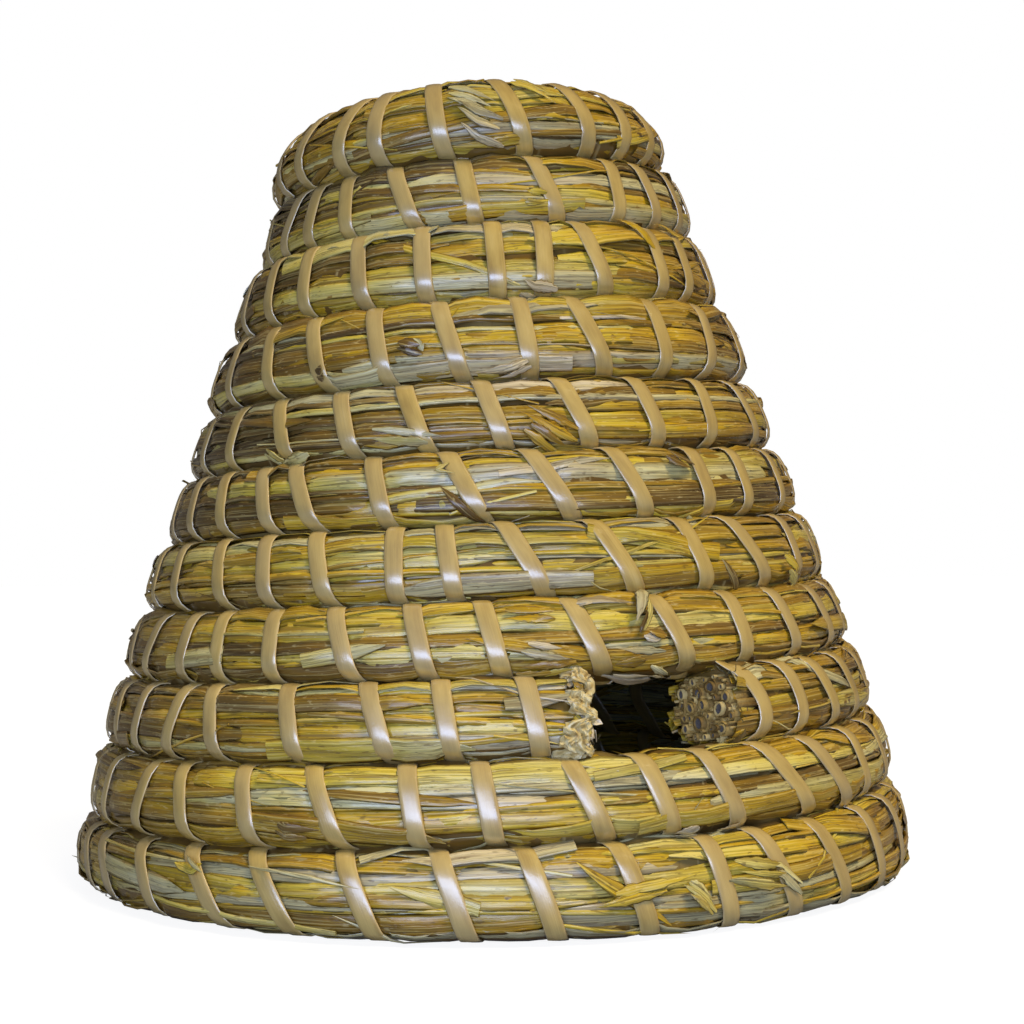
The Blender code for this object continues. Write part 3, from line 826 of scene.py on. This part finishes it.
# Loose bits: torn leaves, broken stalks and ends of cane that stick out of the courses. Each runs
# through places given in degrees from the front, degrees up round the rope, and millimetres off
# it, and has a width and a hue.
STRAND_WIDTH = 0.0030
STRAND_POINTS = 15
LOOSE_BITS = {
    1: (
        (((-10, 5, 1), (-3, -8, 2), (6, -28, 1)), 0.009, 0.78),
        (((-6, -20, 1), (0, -38, 2), (9, -50, 1)), 0.008, 0.95),
        (((9, 25, 1), (14, 10, 2), (22, -22, 1)), 0.006, 0.60),
    ),
    2: ((((10, -27, 2), (13, -28, 2), (19, -28, 0)), 0.0055, 0.52),),
    3: (
        (((34, 60, 1), (40, 42, 2), (46, 2, 1)), 0.005, 0.58),
        (((47, 58, 1), (52, 46, 2.5), (58, 30, 3)), 0.004, 0.72),
        (((6, -40, 1), (11, -56, 1.5), (17, -62, 1)), 0.007, 0.95),
    ),
    4: (
        (((-17, -18, 1), (-14, -24, 3), (-10, -30, 1)), 0.006, 0.02),
        (((-14, -12, 1), (-12, -22, 2.5), (-11, -34, 2)), 0.003, 0.90),
        (((-3, -66, 1.5), (5, -60, 2.5), (10, -52, 2.5)), 0.008, 1.10),
        (((-34, -40, 1), (-31, -42, 2)), 0.006, 0.05),
    ),
    5: (
        (((-43, -36, 1), (-39, -58, 3), (-37, -70, 2)), 0.005, 1.00),
        (((-41, -62, 2), (-36, -56, 3), (-31, -48, 1)), 0.004, 0.98),
        (((6, -20, 1), (11, -42, 2), (17, -62, 1)), 0.011, 0.24),
        (((-24, -30, 0.6), (-14, -40, 0.8), (-6, -50, 0.6)), 0.006, 0.92),
    ),
    6: (
        (((-7.5, -8, 1.5), (-5, -30, 2.4), (0.5, -72, 2.2)), 0.0032, 0.0),
        (((-4, 42, 1), (-8, 14, 2.5), (-2, 6, 1)), 0.0016, 0.86),
        (((31, 34, 1), (34, 18, 2.5), (38, 6, 1)), 0.005, 0.12),
        (((33, -46, 1), (35, -64, 2.5), (38, -80, 2)), 0.004, 0.80),
    ),
    7: (
        (((36, -12, 1), (38, -38, 2.5), (41, -66, 2)), 0.003, 0.06),
        (((52, -28, 1), (55, -46, 3), (53, -66, 2)), 0.006, 0.72),
        (((50, -40, 1), (56, -52, 3), (60, -44, 2)), 0.004, 0.10),
    ),
    8: (
        (((22.8, 62, 0.8), (21.0, 28, 2.4), (18.6, -24, 1.6)), 0.0045, 0.97),
        (((23.0, 50, 1), (22.2, 20, 2.8), (20.2, -20, 2.2)), 0.0026, 0.80),
        (((22.4, 42, 1.4), (21.4, 12, 2.6), (20, -16, 2)), 0.0016, 0.08),
        (((20.5, -4, 1), (22.5, -14, 2), (24.4, -18, 1)), 0.004, 0.16),
        (((20.5, -16, 1), (22.5, -24, 2), (24.8, -20, 1)), 0.0028, 1.15),
        (((0.8, 26, 0.5), (5, 23, 0.8), (9.4, 20, 0.5)), 0.006, 0.42),
        (((3.6, -24, 0.5), (7, -31, 0.9), (11.4, -38, 0.5)), 0.0055, 0.98),
        (((14.2, -30, 0.6), (19, -35, 1.0), (25, -40, 0.7)), 0.0028, 0.96),
        (((2, -56, 1), (7, -52, 1.5), (11.8, -50, 0.6)), 0.005, 0.12),
        (((16.4, -52, 0.6), (19, -48, 1.5), (22.5, -46, 1)), 0.004, 0.12),
        (((5, -70, 1), (9, -62, 1.8), (12, -60, 0.6)), 0.005, 0.50),
        (((15.5, -84, 1.0), (20, -76, 2.0), (24.5, -82, 1.0)), 0.0085, 1.02),
        (((21.0, -56, 1), (23.6, -66, 2), (26, -80, 1)), 0.006, 0.92),
    ),
    10: (
        (((-26.5, -30, 2), (-25, -36, 3), (-20, -40, 1)), 0.005, 0.30),
        (((20, -72, 1.5), (23, -60, 3), (25.5, -50, 3)), 0.008, 1.10),
        (((26.5, -60, 1), (30.5, -62, 2), (32, -64, 1)), 0.007, 1.05),
    ),
    11: (
        (((-41, 44, 1), (-38, 30, 4), (-34, 14, 4)), 0.002, 0.88),
        (((-42, 30, 1), (-38, 22, 4), (-36, 32, 3)), 0.003, 0.60),
        (((-30, 34, 1), (-21, 24, 3), (-13, 8, 3)), 0.0013, 0.90),
        (((21, 6, 1), (23, -10, 2.5), (26, -42, 1)), 0.008, 0.74),
        (((27, 16, 1), (32, 4, 3), (38, -8, 1.5)), 0.009, 0.84),
        (((31, 16, 1), (35, 8, 3), (38.5, -26, 2)), 0.005, 1.05),
        (((10, -14, 1), (16, -2, 2), (24, 10, 1)), 0.006, 0.50),
    ),
}


def loose_bits(course, places, width, hue):
    """Strands of a torn leaf that run through these places and lift off the rope between them."""
    degrees, around, lift = np.array(places).T
    knots = np.linspace(0, 1, len(places))
    strands = max(round(width / STRAND_WIDTH), 1)
    made = []
    for strand in range(strands):
        aside = (strand - (strands - 1) / 2) * width / strands
        run = np.linspace(random.uniform(0, 0.3), random.uniform(0.7, 1), STRAND_POINTS)
        turns = turn_at(course, np.interp(run, knots, degrees))
        aside = aside / (ROPE_THICKNESS / 2)
        angles = np.radians(np.interp(run, knots, around)) + aside + random.normal(0, 0.03)
        lifted = np.interp(run, knots, lift) / 1000 * random.uniform(0.5, 1)
        deep = sunk(turns, angles) - 0.0006 - lifted
        point, outward = rope_skin(turns, angles, deep)
        outward = rolled(point, outward, random.normal(0, 0.20) + random.normal(0, 0.8) * (run - 0.5))
        shape = np.interp(np.linspace(0, 1, STRAND_POINTS), [0, 0.25, 0.6, 1], [0.3, 1, 0.9, 0.05])
        narrowed = shape[:: random.choice([-1, 1])] * random.uniform(0.8, 1.3)
        half_width = width / strands * 0.65 * narrowed * (1 + random.normal(0, 0.12, len(run)))
        made.append((point, outward, half_width, hue + random.normal(0, 0.05), width > 0.0025))
    return made


# Shreds of thin leaf, torn lengthwise, that run out of the rope left of the entrance and fold over
# its crushed end. They are laid with the stalks of that stretch.
CRUSHED_REACH = (0.012, 0.0034)  # how far the crushed end reaches into the rope, and out of it
SHREDS = 90
SHRED_HUES = [1.25, 1.2, 1.1, 1.0, 0.5, 0.2]


def shred(around):
    """A shred that starts at this angle round the rope."""
    knots = np.sort(np.concatenate([[0, 1], random.uniform(0.15, 0.95, 5)]))
    steps = np.sort(np.concatenate([knots, np.linspace(0, 1, 12)]))
    reach = [0.008, 0.004, CRUSHED_REACH[1] - 0.0012, random.uniform(-0.001, 0.004)]
    out = np.interp(knots, [0, 0.3, 0.5, 1], reach)
    shares = np.interp(knots, [0, 0.35, 0.5, 1], [1.02, 1.06, 1.03, random.uniform(0.4, 1.1)])
    out = np.interp(steps, knots, out + random.normal(0, 0.0009, len(knots)))
    shares = np.interp(steps, knots, shares + random.normal(0, 0.035, len(knots)))
    strays = random.normal(0, 0.07, len(knots)) + random.normal(0, 0.5) * knots
    angles = around + np.interp(steps, knots, strays)
    turns = left_end + turns_long(out, left_end)
    point, outward = rope_skin(turns, angles, 0.0, shares)
    outward = rolled(point, outward, np.interp(steps, knots, random.normal(0, 0.7, len(knots))))
    half_width = random.uniform(0.0005, 0.0015)
    half_width = half_width * np.interp(steps, [0, 0.3, 1], [1, 1, random.uniform(0.1, 0.8)])
    return point, outward, half_width, random.choice(SHRED_HUES), True


for name, (first, last, stitches) in lengths.items():
    crushed, cut = name == "course_09_left", name == "course_09_right"
    course = int(name[7:9]) if name.startswith("course") else 0
    if crushed:
        first += turns_long(CRUSHED_REACH[1] + 0.003, first)
    random = np.random.default_rng(round(100 * first) + STALK_SEED)
    stalks = rope_stalks((first, last, cut), COURSE_HUE[COURSES if name == "tail" else course])
    if crushed:
        stalks += [shred(2 * math.pi * number / SHREDS) for number in range(SHREDS)]
    for bit in LOOSE_BITS.get(course, ()):
        stalks += loose_bits(course, *bit)
    piece = straw_piece("straw_" + name, first, last, cut, stalks, PAINTED_SIDE_SHADE_BY_COURSE[course])
    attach(piece, "root")
    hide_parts("crown_coil" if name == "crown" else "rope_" + name)


# Crushed end: left of the entrance the leaves of the rope are folded back over its end and crumpled
# like thin paper. It is one closed skin round the last stretch of the rope, with sharp folds, painted
# pale along their ridges as a highlight and brown in their hollows as shade.
FOLD_SIZES = (0.0040, 0.0019)
FOLD_HEIGHTS = (0.0090, 0.0048)
CRUSHED_SIDES = 130
CRUSHED_ROWS = 52

crushed_straw, shader, tree = new_material("crushed_straw")
blots = tree.object_noise(260.0, 4.0)
# Colour by fold height: painted highlight on the ridges, painted shade in the hollows
colour = (tree.attribute("fold") * 0.75 + blots * 0.5 - 0.12).ramp([
    (0.12, (0.11, 0.055, 0.012)),
    (0.34, (0.36, 0.235, 0.070)),
    (0.50, (0.54, 0.41, 0.165)),
    (0.66, (0.63, 0.53, 0.28)),
    (0.85, (0.74, 0.70, 0.52)),
])
connect(shader, "Base Color", colour)
connect(shader, "Roughness", 0.28 + blots * 0.3)
shader.inputs["Coat Weight"].default_value = 0.2
shader.inputs["Coat Roughness"].default_value = 0.2

sizes = {"Large fold": FOLD_SIZES[0], "Small fold": FOLD_SIZES[1]}
sizes.update({"Large height": FOLD_HEIGHTS[0], "Small height": FOLD_HEIGHTS[1]})
crumple, tree, given, crumple_sockets = size_tree("crumple", "Skin", "Paper", sizes)


def folds(size, height):
    """Height of folds of this size: sharp ridges that fall off to both sides."""
    waves = tree.noise(tree.node("GeometryNodeInputPosition"), 1.0 / given[size], 1.0)
    return (0.12 - abs(waves - 0.5)) * given[height]


height = folds("Large fold", "Large height") + folds("Small fold", "Small height")
reach = given["Large height"] + given["Small height"]
normal = tree.node("GeometryNodeInputNormal")
offset = tree.node("ShaderNodeVectorMath", {"operation": "SCALE"}, {0: normal, "Scale": height})
paper = tree.node("GeometryNodeSetPosition", None, {"Geometry": given["Skin"], "Offset": offset})
# the fold height, which the material paints as highlight on the ridges and shade in the hollows
paper = paper.stored("fold", height / reach * 3.6 + 0.42)
paper = tree.node("GeometryNodeSetShadeSmooth", None, {"Geometry": paper, "Shade Smooth": False})
paper.finish(crushed_straw, "Paper")

inside, beyond = CRUSHED_REACH
run = np.linspace(0, 1, CRUSHED_ROWS + 1)[1:-1, None]
angles = np.linspace(0, 2 * math.pi, CRUSHED_SIDES, endpoint=False)[None, :]
ragged = 0.0034 * np.sin(angles - 2.2) + 0.0014 * np.sin(angles * 8) + 0.0010 * np.sin(angles * 17 + 2)
from_end = np.interp(run, [0, 0.2, 0.3, 0.72, 0.8, 1], [inside, inside, inside, beyond, beyond, 0.002])
from_end = from_end + ragged * np.interp(run, [0.2, 0.3, 0.72, 0.9], [1.6, 1.6, 0.5, 0])
share = np.interp(run, [0, 0.2, 0.3, 0.66, 0.76, 1], [0.05, 0.88, 1.03, 1.05, 0.90, 0.05]) + 0 * angles
turns = left_end + turns_long(from_end, left_end)
point = rope_skin(turns, angles + 0 * run, sunk(turns, angles + 0 * run) * (share > 0.9), share)[0]
mesh = bpy.data.meshes.new("crushed_end")
faces = [face[::-1] for face in ring_faces(len(point), CRUSHED_SIDES)]
mesh.from_pydata(point.reshape(-1, 3), [], faces)
piece = grown(mesh, crumple, {crumple_sockets["Large fold"]: FOLD_SIZES[0]})
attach(piece, "root")
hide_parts("rope_course_09_left")


# Cut end: right of the entrance the rope is cut across, so that its reeds show as tubes with
# thin walls round a plug of pith, with leaves folded between them. Their rims are pale and dull,
# and below the rims the walls darken to near black, painted shade inside the tubes.
REED_DEPTH = 0.012
REED_SIZES = ((9, 0.0020, 0.0030), (30, 0.0011, 0.0017), (90, 0.0004, 0.0009))  # count and radii
REED_CORNERS = 14
TRIES_FOR_A_REED = 60
SHEATHED_RADIUS = 0.0019  # reeds over this have a leaf folded round them
ROOM_AT_SKIN = 0.0026
FOLDED_LEAVES = 50

cut_straw, shader, tree = new_material("cut_straw")
rim = tree.attribute("rim")
spots = tree.object_noise(900.0, 3.0)
rim_colour = (tree.attribute("tone") * 0.6 + spots * 0.4).ramp([
    (0.10, (0.10, 0.055, 0.012)),
    (0.35, (0.20, 0.118, 0.028)),
    (0.60, (0.38, 0.245, 0.066)),
    (0.80, (0.54, 0.395, 0.150)),
])
# Below the rim the walls are painted near black: painted shade inside the tubes
colour = rim.mix((0.045, 0.025, 0.008), rim_colour)
colour = tree.attribute("pith").mix(colour, spots.mix((0.045, 0.040, 0.038), (0.17, 0.155, 0.14)))
connect(shader, "Base Color", colour)
connect_bump(shader, 0.5, 0.0004, spots)
shader.inputs["Roughness"].default_value = 0.7
shader.inputs["Specular IOR Level"].default_value = 0.25

sizes = {"Depth": REED_DEPTH, "Wall": 0.30, "Leaf wall": 0.16, "Pith": 0.05}
cut_reeds, tree, given, reed_sockets = size_tree("cut_reeds", "Places", "Reeds", sizes)


def tube(wall):
    """A tube one radius wide and one depth long, hanging down from its rim."""
    values = {"Resolution": REED_CORNERS, "Radius": 1.0}
    circle = tree.node("GeometryNodeCurvePrimitiveCircle", None, values)
    circle = tree.node("GeometryNodeSetCurveNormal", {"mode": "Z_UP"}, {"Curve": circle})
    section = tree.node("GeometryNodeCurvePrimitiveQuadrilateral", None, {"Width": wall, "Height": 1.0})
    body = tree.node("GeometryNodeCurveToMesh", None, {"Curve": circle, "Profile Curve": section})
    body = tree.node("GeometryNodeTransform", None, {"Geometry": body, "Translation": (0.0, 0.0, -0.5)})
    place = tree.node("GeometryNodeInputPosition")
    height = tree.node("ShaderNodeSeparateXYZ", None, {"Vector": place}, "Z")
    return body.stored("rim", tree.maths("GREATER_THAN", height, -0.01))


def set_in(bodies, chosen):
    """These bodies set at the places that are chosen, each turned and pressed out of round."""
    facing = {"Vector": tree.named("facing", "FLOAT_VECTOR")}
    faced = tree.node("FunctionNodeAlignRotationToVector", {"axis": "Z"}, facing)
    spin = {"Axis": (0.0, 0.0, 1.0), "Angle": tree.named("spin")}
    turned = {"Rotation": faced, "Rotate By": tree.node("FunctionNodeAxisAngleToRotation", None, spin)}
    turned = tree.node("FunctionNodeRotateRotation", {"rotation_space": "LOCAL"}, turned)
    radius = tree.named("radius")
    size = tree.vector(radius, radius * tree.named("squash"), given["Depth"])
    values = {"Points": given["Places"], "Selection": chosen}
    values.update({"Instance": bodies, "Rotation": turned, "Scale": size})
    return tree.node("GeometryNodeInstanceOnPoints", None, values)


values = {"Vertices": REED_CORNERS, "Radius": 0.80, "Depth": 0.6}
sunk_by = tree.vector(0.0, 0.0, -0.3 - given["Pith"])
pith = {"Geometry": tree.node("GeometryNodeMeshCylinder", None, values), "Translation": sunk_by}
pith = tree.node("GeometryNodeTransform", None, pith).stored("pith", 1.0)
is_leaf = tree.named("leaf", "BOOLEAN")
is_reed = tree.node("FunctionNodeBooleanMath", {"operation": "NOT"}, {0: is_leaf})
reeds = set_in(tube(given["Wall"]).joined(pith), is_reed)
reeds.joined(set_in(tube(given["Leaf wall"]), is_leaf)).finish(cut_straw, "Reeds")

room = float(np.interp(right_end, TURNS, HALF))
reeds = []
for count, small, large in REED_SIZES:
    wanted = len(reeds) + count
    for attempt in range(count * TRIES_FOR_A_REED):
        radius = random.uniform(small, large)
        away = (room - ROOM_AT_SKIN - radius) * math.sqrt(random.random())
        around = random.uniform(0, 2 * math.pi)
        x, z = away * math.cos(around), away * math.sin(around)
        if len(reeds) < wanted and all(math.hypot(x - a, z - b) > radius + r for a, b, r in reeds):
            reeds.append((x, z, radius))
places = []
for x, z, radius in reeds:
    back, squash = random.uniform(-0.0008, 0.0016), random.uniform(0.72, 1.0)
    places.append((x, z, back, radius, squash, False))
    if radius > SHEATHED_RADIUS:
        back, squash = random.uniform(-0.0012, 0.0002), random.uniform(0.8, 1.0)
        places.append((x, z, back, radius * 1.3, squash, True))
for number in range(FOLDED_LEAVES):
    away = room * 0.74 * math.sqrt(random.random())
    around = random.uniform(0, 2 * math.pi)
    x, z = away * math.cos(around), away * math.sin(around)
    radius, squash = random.uniform(0.0020, 0.0040), random.uniform(0.2, 0.55)
    places.append((x, z, random.uniform(-0.0025, 0.0), radius, squash, True))
x, z, back, radii, squashes, leaves = np.array(places).T
around, share = np.arctan2(z, x), np.hypot(x, z) / room
turns = right_end + end_slant * (1 - share * np.cos(around)) / 2 + turns_long(back, right_end)
point = rope_skin(turns, around, 0.0, share)[0]
facing = rope_skin(turns + 0.002, around, 0.0, share)[0] - point
mesh = bpy.data.meshes.new("cut_reeds")
mesh.from_pydata(point, [], [])
spins = random.uniform(0, 2 * math.pi, len(point))
tones = random.random(len(point))
give(mesh, {"radius": radii, "squash": squashes, "spin": spins, "tone": tones})
give(mesh, {"leaf": leaves > 0.5, "facing": facing})
piece = grown(mesh, cut_reeds, {reed_sockets["Depth"]: REED_DEPTH})
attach(piece, "root")
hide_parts("rope_course_09_right")


# Cane binding: a flat strip split from cane, wound round each course as it is laid, under the
# course above and over the outside. Its back is slightly crowned and its cut edges are pale.
CORNER = 67.5  # degrees up and down from the middle of the outside, where the strip turns in
STEP = 11.25
INSIDE_RUN = ((67.5, 112.5, 157.5, 202.5, 247.5, 292.5), (0.0, 0.1, 0.3, 0.7, 0.9, 1.0))
STANDS_OFF = 0.0006  # middle of the strip above the straw, and at the foot above the ground
CANE_CORNERS = 12

cane, shader, tree = new_material("cane")
along = tree.attribute("along")
tone = tree.attribute("tone")
grain_place = tree.vector(along * 12.0 + tone * 40.0, tree.attribute("across") * 14.0, tone * 53.0)
grain = tree.noise(grain_place, 1.0, 4.0)
cloud_place = tree.vector(along * 60.0, tree.attribute("across"), tone * 17.0)
clouds = tree.noise(cloud_place, 1.0, 3.0)
colour = (grain * 0.28 + clouds * 0.72).ramp([
    (0.30, (0.35, 0.225, 0.055)),
    (0.48, (0.47, 0.320, 0.084)),
    (0.62, (0.55, 0.385, 0.108)),
    (0.78, (0.62, 0.455, 0.170)),
])
colour = (tone * 0.4).mix(colour, (0.43, 0.325, 0.17))
cut_edge = abs(tree.attribute("across")).ramp([(0.80, 0.0), (0.96, 1.0)])
colour = (cut_edge * 0.45).mix(colour, (0.68, 0.52, 0.30))
connect(shader, "Base Color", colour)
connect(shader, "Roughness", 0.25 + clouds * 0.14)
shader.inputs["Specular IOR Level"].default_value = 0.9
shader.inputs["Coat Weight"].default_value = 1.0
shader.inputs["Coat IOR"].default_value = 1.7
shader.inputs["Coat Roughness"].default_value = 0.24
connect_bump(shader, 0.3, 0.0004, grain)

sizes = {"Width": STRIP_WIDTH, "Thickness": STRIP_THICKNESS, "Crown": 0.00035}
wind_cane, tree, given, cane_sockets = size_tree("wind_cane", "Path", "Strip", sizes)


def squared(place, power):
    """A place on a ring moved towards the corners, the more so the smaller the power."""
    return tree.maths("SIGN", place) * tree.maths("POWER", abs(place), power)


def flat_strip(upward, sideways):
    """Section of the strip: flat below, with rounded edges and a slightly crowned back."""
    upward, sideways = squared(upward, 0.35), squared(sideways, 0.8)
    height = upward * given["Thickness"] * 0.5 + given["Crown"] * (1.0 - sideways * sideways)
    return tree.vector(height, sideways * given["Width"] * 0.5, 0.0)


profile = section(tree, CANE_CORNERS, flat_strip)
values = {"Curve": as_curves(given["Path"]), "Profile Curve": profile, "Fill Caps": True}
strip = tree.node("GeometryNodeCurveToMesh", None, values)
tree.node("GeometryNodeSetShadeSmooth", None, {"Geometry": strip}).finish(cane, "Strip")


def strip_path(stitches):
    """Line of the strip: up over the outside of the rope, and down and on along its inside."""
    turns, angles, tones = [], [], []
    low, high = math.radians(-CORNER), math.radians(CORNER)
    for number, (turn, _) in enumerate(stitches):
        last = number + 1 == len(stitches)
        following = turn if last else stitches[number + 1][0]
        start = turn + float(strip_shift(high, turn))
        end = start if last else following + float(strip_shift(low, following))
        around = np.radians(np.arange(-CORNER, 180 - CORNER if last else 360 - CORNER, STEP))
        inside = np.interp(around, np.radians(INSIDE_RUN[0]), INSIDE_RUN[1])
        outside = turn + strip_shift(around, turn)
        turns.append(np.where(around > high, start + (end - start) * inside, outside))
        angles.append(around)
        tones.append(np.full(len(around), random.random()))
    return np.concatenate(turns), np.concatenate(angles), np.concatenate(tones)


for name, (first, last, stitches) in lengths.items():
    turns, angles, tones = strip_path(stitches)
    point, outward = rope_skin(turns, angles, sunk(turns, angles) - STANDS_OFF)
    point[:, 2] = np.maximum(point[:, 2], STANDS_OFF)
    here = np.arange(len(point) - 1)
    mesh = bpy.data.meshes.new("binding_" + name)
    mesh.from_pydata(point, np.stack([here, here + 1], 1), [])
    give(mesh, {"outward": outward, "tone": tones})
    binding = grown(mesh, wind_cane, {cane_sockets["Width"]: STRIP_WIDTH})
    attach(binding, "root")
    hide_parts("cane_" + name)


# Floor and light: a plain pale floor, warm light from high on the right, a weaker lamp behind, and
# cool light from a low window behind the camera. What the camera sees of the floor is mostly a
# white glow, so that it stays white around the shadow, and it throws little light up.
FLOOR_SIZE = 6.0
FLOOR_GLOW = 0.70
GLOW_STRENGTH = 1.3
WINDOW_SIZE = (1.1, 0.30)
WINDOW_POWER = 8.4
WINDOW_PLACE = (-0.12, -1.0, 0.19)
mesh = bpy.data.meshes.new("floor")
corners = [(x * FLOOR_SIZE, y * FLOOR_SIZE, 0) for x, y in ((-1, -1), (1, -1), (1, 1), (-1, 1))]
mesh.from_pydata(corners, [], [(0, 1, 2, 3)])
floor = bpy.data.objects.new("floor", mesh)
bpy.context.scene.collection.objects.link(floor)
pale_floor, shader, tree = new_material("pale_floor")
shader.inputs["Roughness"].default_value = 0.9
shader.inputs["Specular IOR Level"].default_value = 0.0
seen = tree.node("ShaderNodeLightPath", None, None, "Is Camera Ray")
connect(shader, "Base Color", seen.mix((0.20, 0.21, 0.25), (0.46, 0.48, 0.56)))
glow = tree.node("ShaderNodeEmission", None, {"Color": (1.0, 1.0, 1.0, 1.0), "Strength": GLOW_STRENGTH})
plain = Value(tree.tree, shader.outputs[0])
shown = tree.node("ShaderNodeMixShader", None, {0: seen * FLOOR_GLOW, 1: plain, 2: glow})
connect(pale_floor.node_tree.nodes["Material Output"], "Surface", shown)
mesh.materials.append(pale_floor)

world = bpy.data.worlds.new("studio")
bpy.context.scene.world = world
world.use_nodes = True
tree = Value(world.node_tree)
background = world.node_tree.nodes["Background"]
seen = tree.node("ShaderNodeLightPath", None, None, "Is Camera Ray")
connect(background, "Color", seen.mix((0.10, 0.095, 0.09), (1.0, 1.0, 1.0)))
background.inputs["Strength"].default_value = 1.0


def lamp_from(lamp, towards, power, colour):
    """A lamp that shines on the skep from this direction."""
    lamp.energy = power
    lamp.color = colour
    made = bpy.data.objects.new(lamp.name, lamp)
    made.rotation_euler = Vector(towards).to_track_quat("Z", "Y").to_euler()
    bpy.context.scene.collection.objects.link(made)
    return made


def far_lamp(name, side, height, power, size, colour):
    """A lamp far away, without a glint, by its degrees from the front to the right and up."""
    lamp = bpy.data.lights.new(name, "SUN")
    lamp.angle = math.radians(size)
    side, height = math.radians(side), math.radians(height)
    level = math.cos(height)
    towards = (math.sin(side) * level, -math.cos(side) * level, math.sin(height))
    lamp_from(lamp, towards, power, colour).visible_glossy = False


lamp = bpy.data.lights.new("window", "AREA")
lamp.shape = "RECTANGLE"
lamp.size, lamp.size_y = WINDOW_SIZE
window = lamp_from(lamp, (*WINDOW_PLACE[:2], 0.0), WINDOW_POWER, (0.50, 0.64, 1.0))
window.location = WINDOW_PLACE
warm, pale = (1.0, 0.85, 0.52), (1.0, 0.93, 0.78)
far_lamp("warm_lamp", side=54, height=57, power=3.25, size=20, colour=warm)
far_lamp("back_lamp", side=200, height=30, power=1.3, size=60, colour=pale)


# Camera: a little under the middle of the skep's height and almost straight in front of it. Its
# place, tilt and lens are fitted to the outline and the courses in the photograph.
FOCAL_PIXELS = 1751.98
PICTURE = 1024
CAMERA_PLACE = (-0.00123, -0.82644, 0.14666)
CAMERA_TILT = 0.01880
CAMERA_ROLL = -0.01057
PRINCIPAL_X = 487.35
lens = bpy.data.cameras.new("camera")
lens.sensor_width = 36.0
lens.lens = FOCAL_PIXELS * lens.sensor_width / PICTURE
lens.shift_x = (PICTURE / 2 - PRINCIPAL_X) / PICTURE
lens.clip_start = 0.01
ahead = Vector((0, math.cos(CAMERA_TILT), math.sin(CAMERA_TILT)))
up = Vector((0, -math.sin(CAMERA_TILT), math.cos(CAMERA_TILT)))
right = Vector((1, 0, 0))
across_picture = right * math.cos(CAMERA_ROLL) + up * math.sin(CAMERA_ROLL)
up_picture = up * math.cos(CAMERA_ROLL) - right * math.sin(CAMERA_ROLL)
camera = bpy.data.objects.new("camera", lens)
turned = Matrix((across_picture, up_picture, -ahead)).transposed()
camera.matrix_world = Matrix.Translation(CAMERA_PLACE) @ turned.to_4x4()
bpy.context.scene.collection.objects.link(camera)
bpy.context.scene.camera = camera
bpy.context.scene.view_settings.view_transform = "Standard"
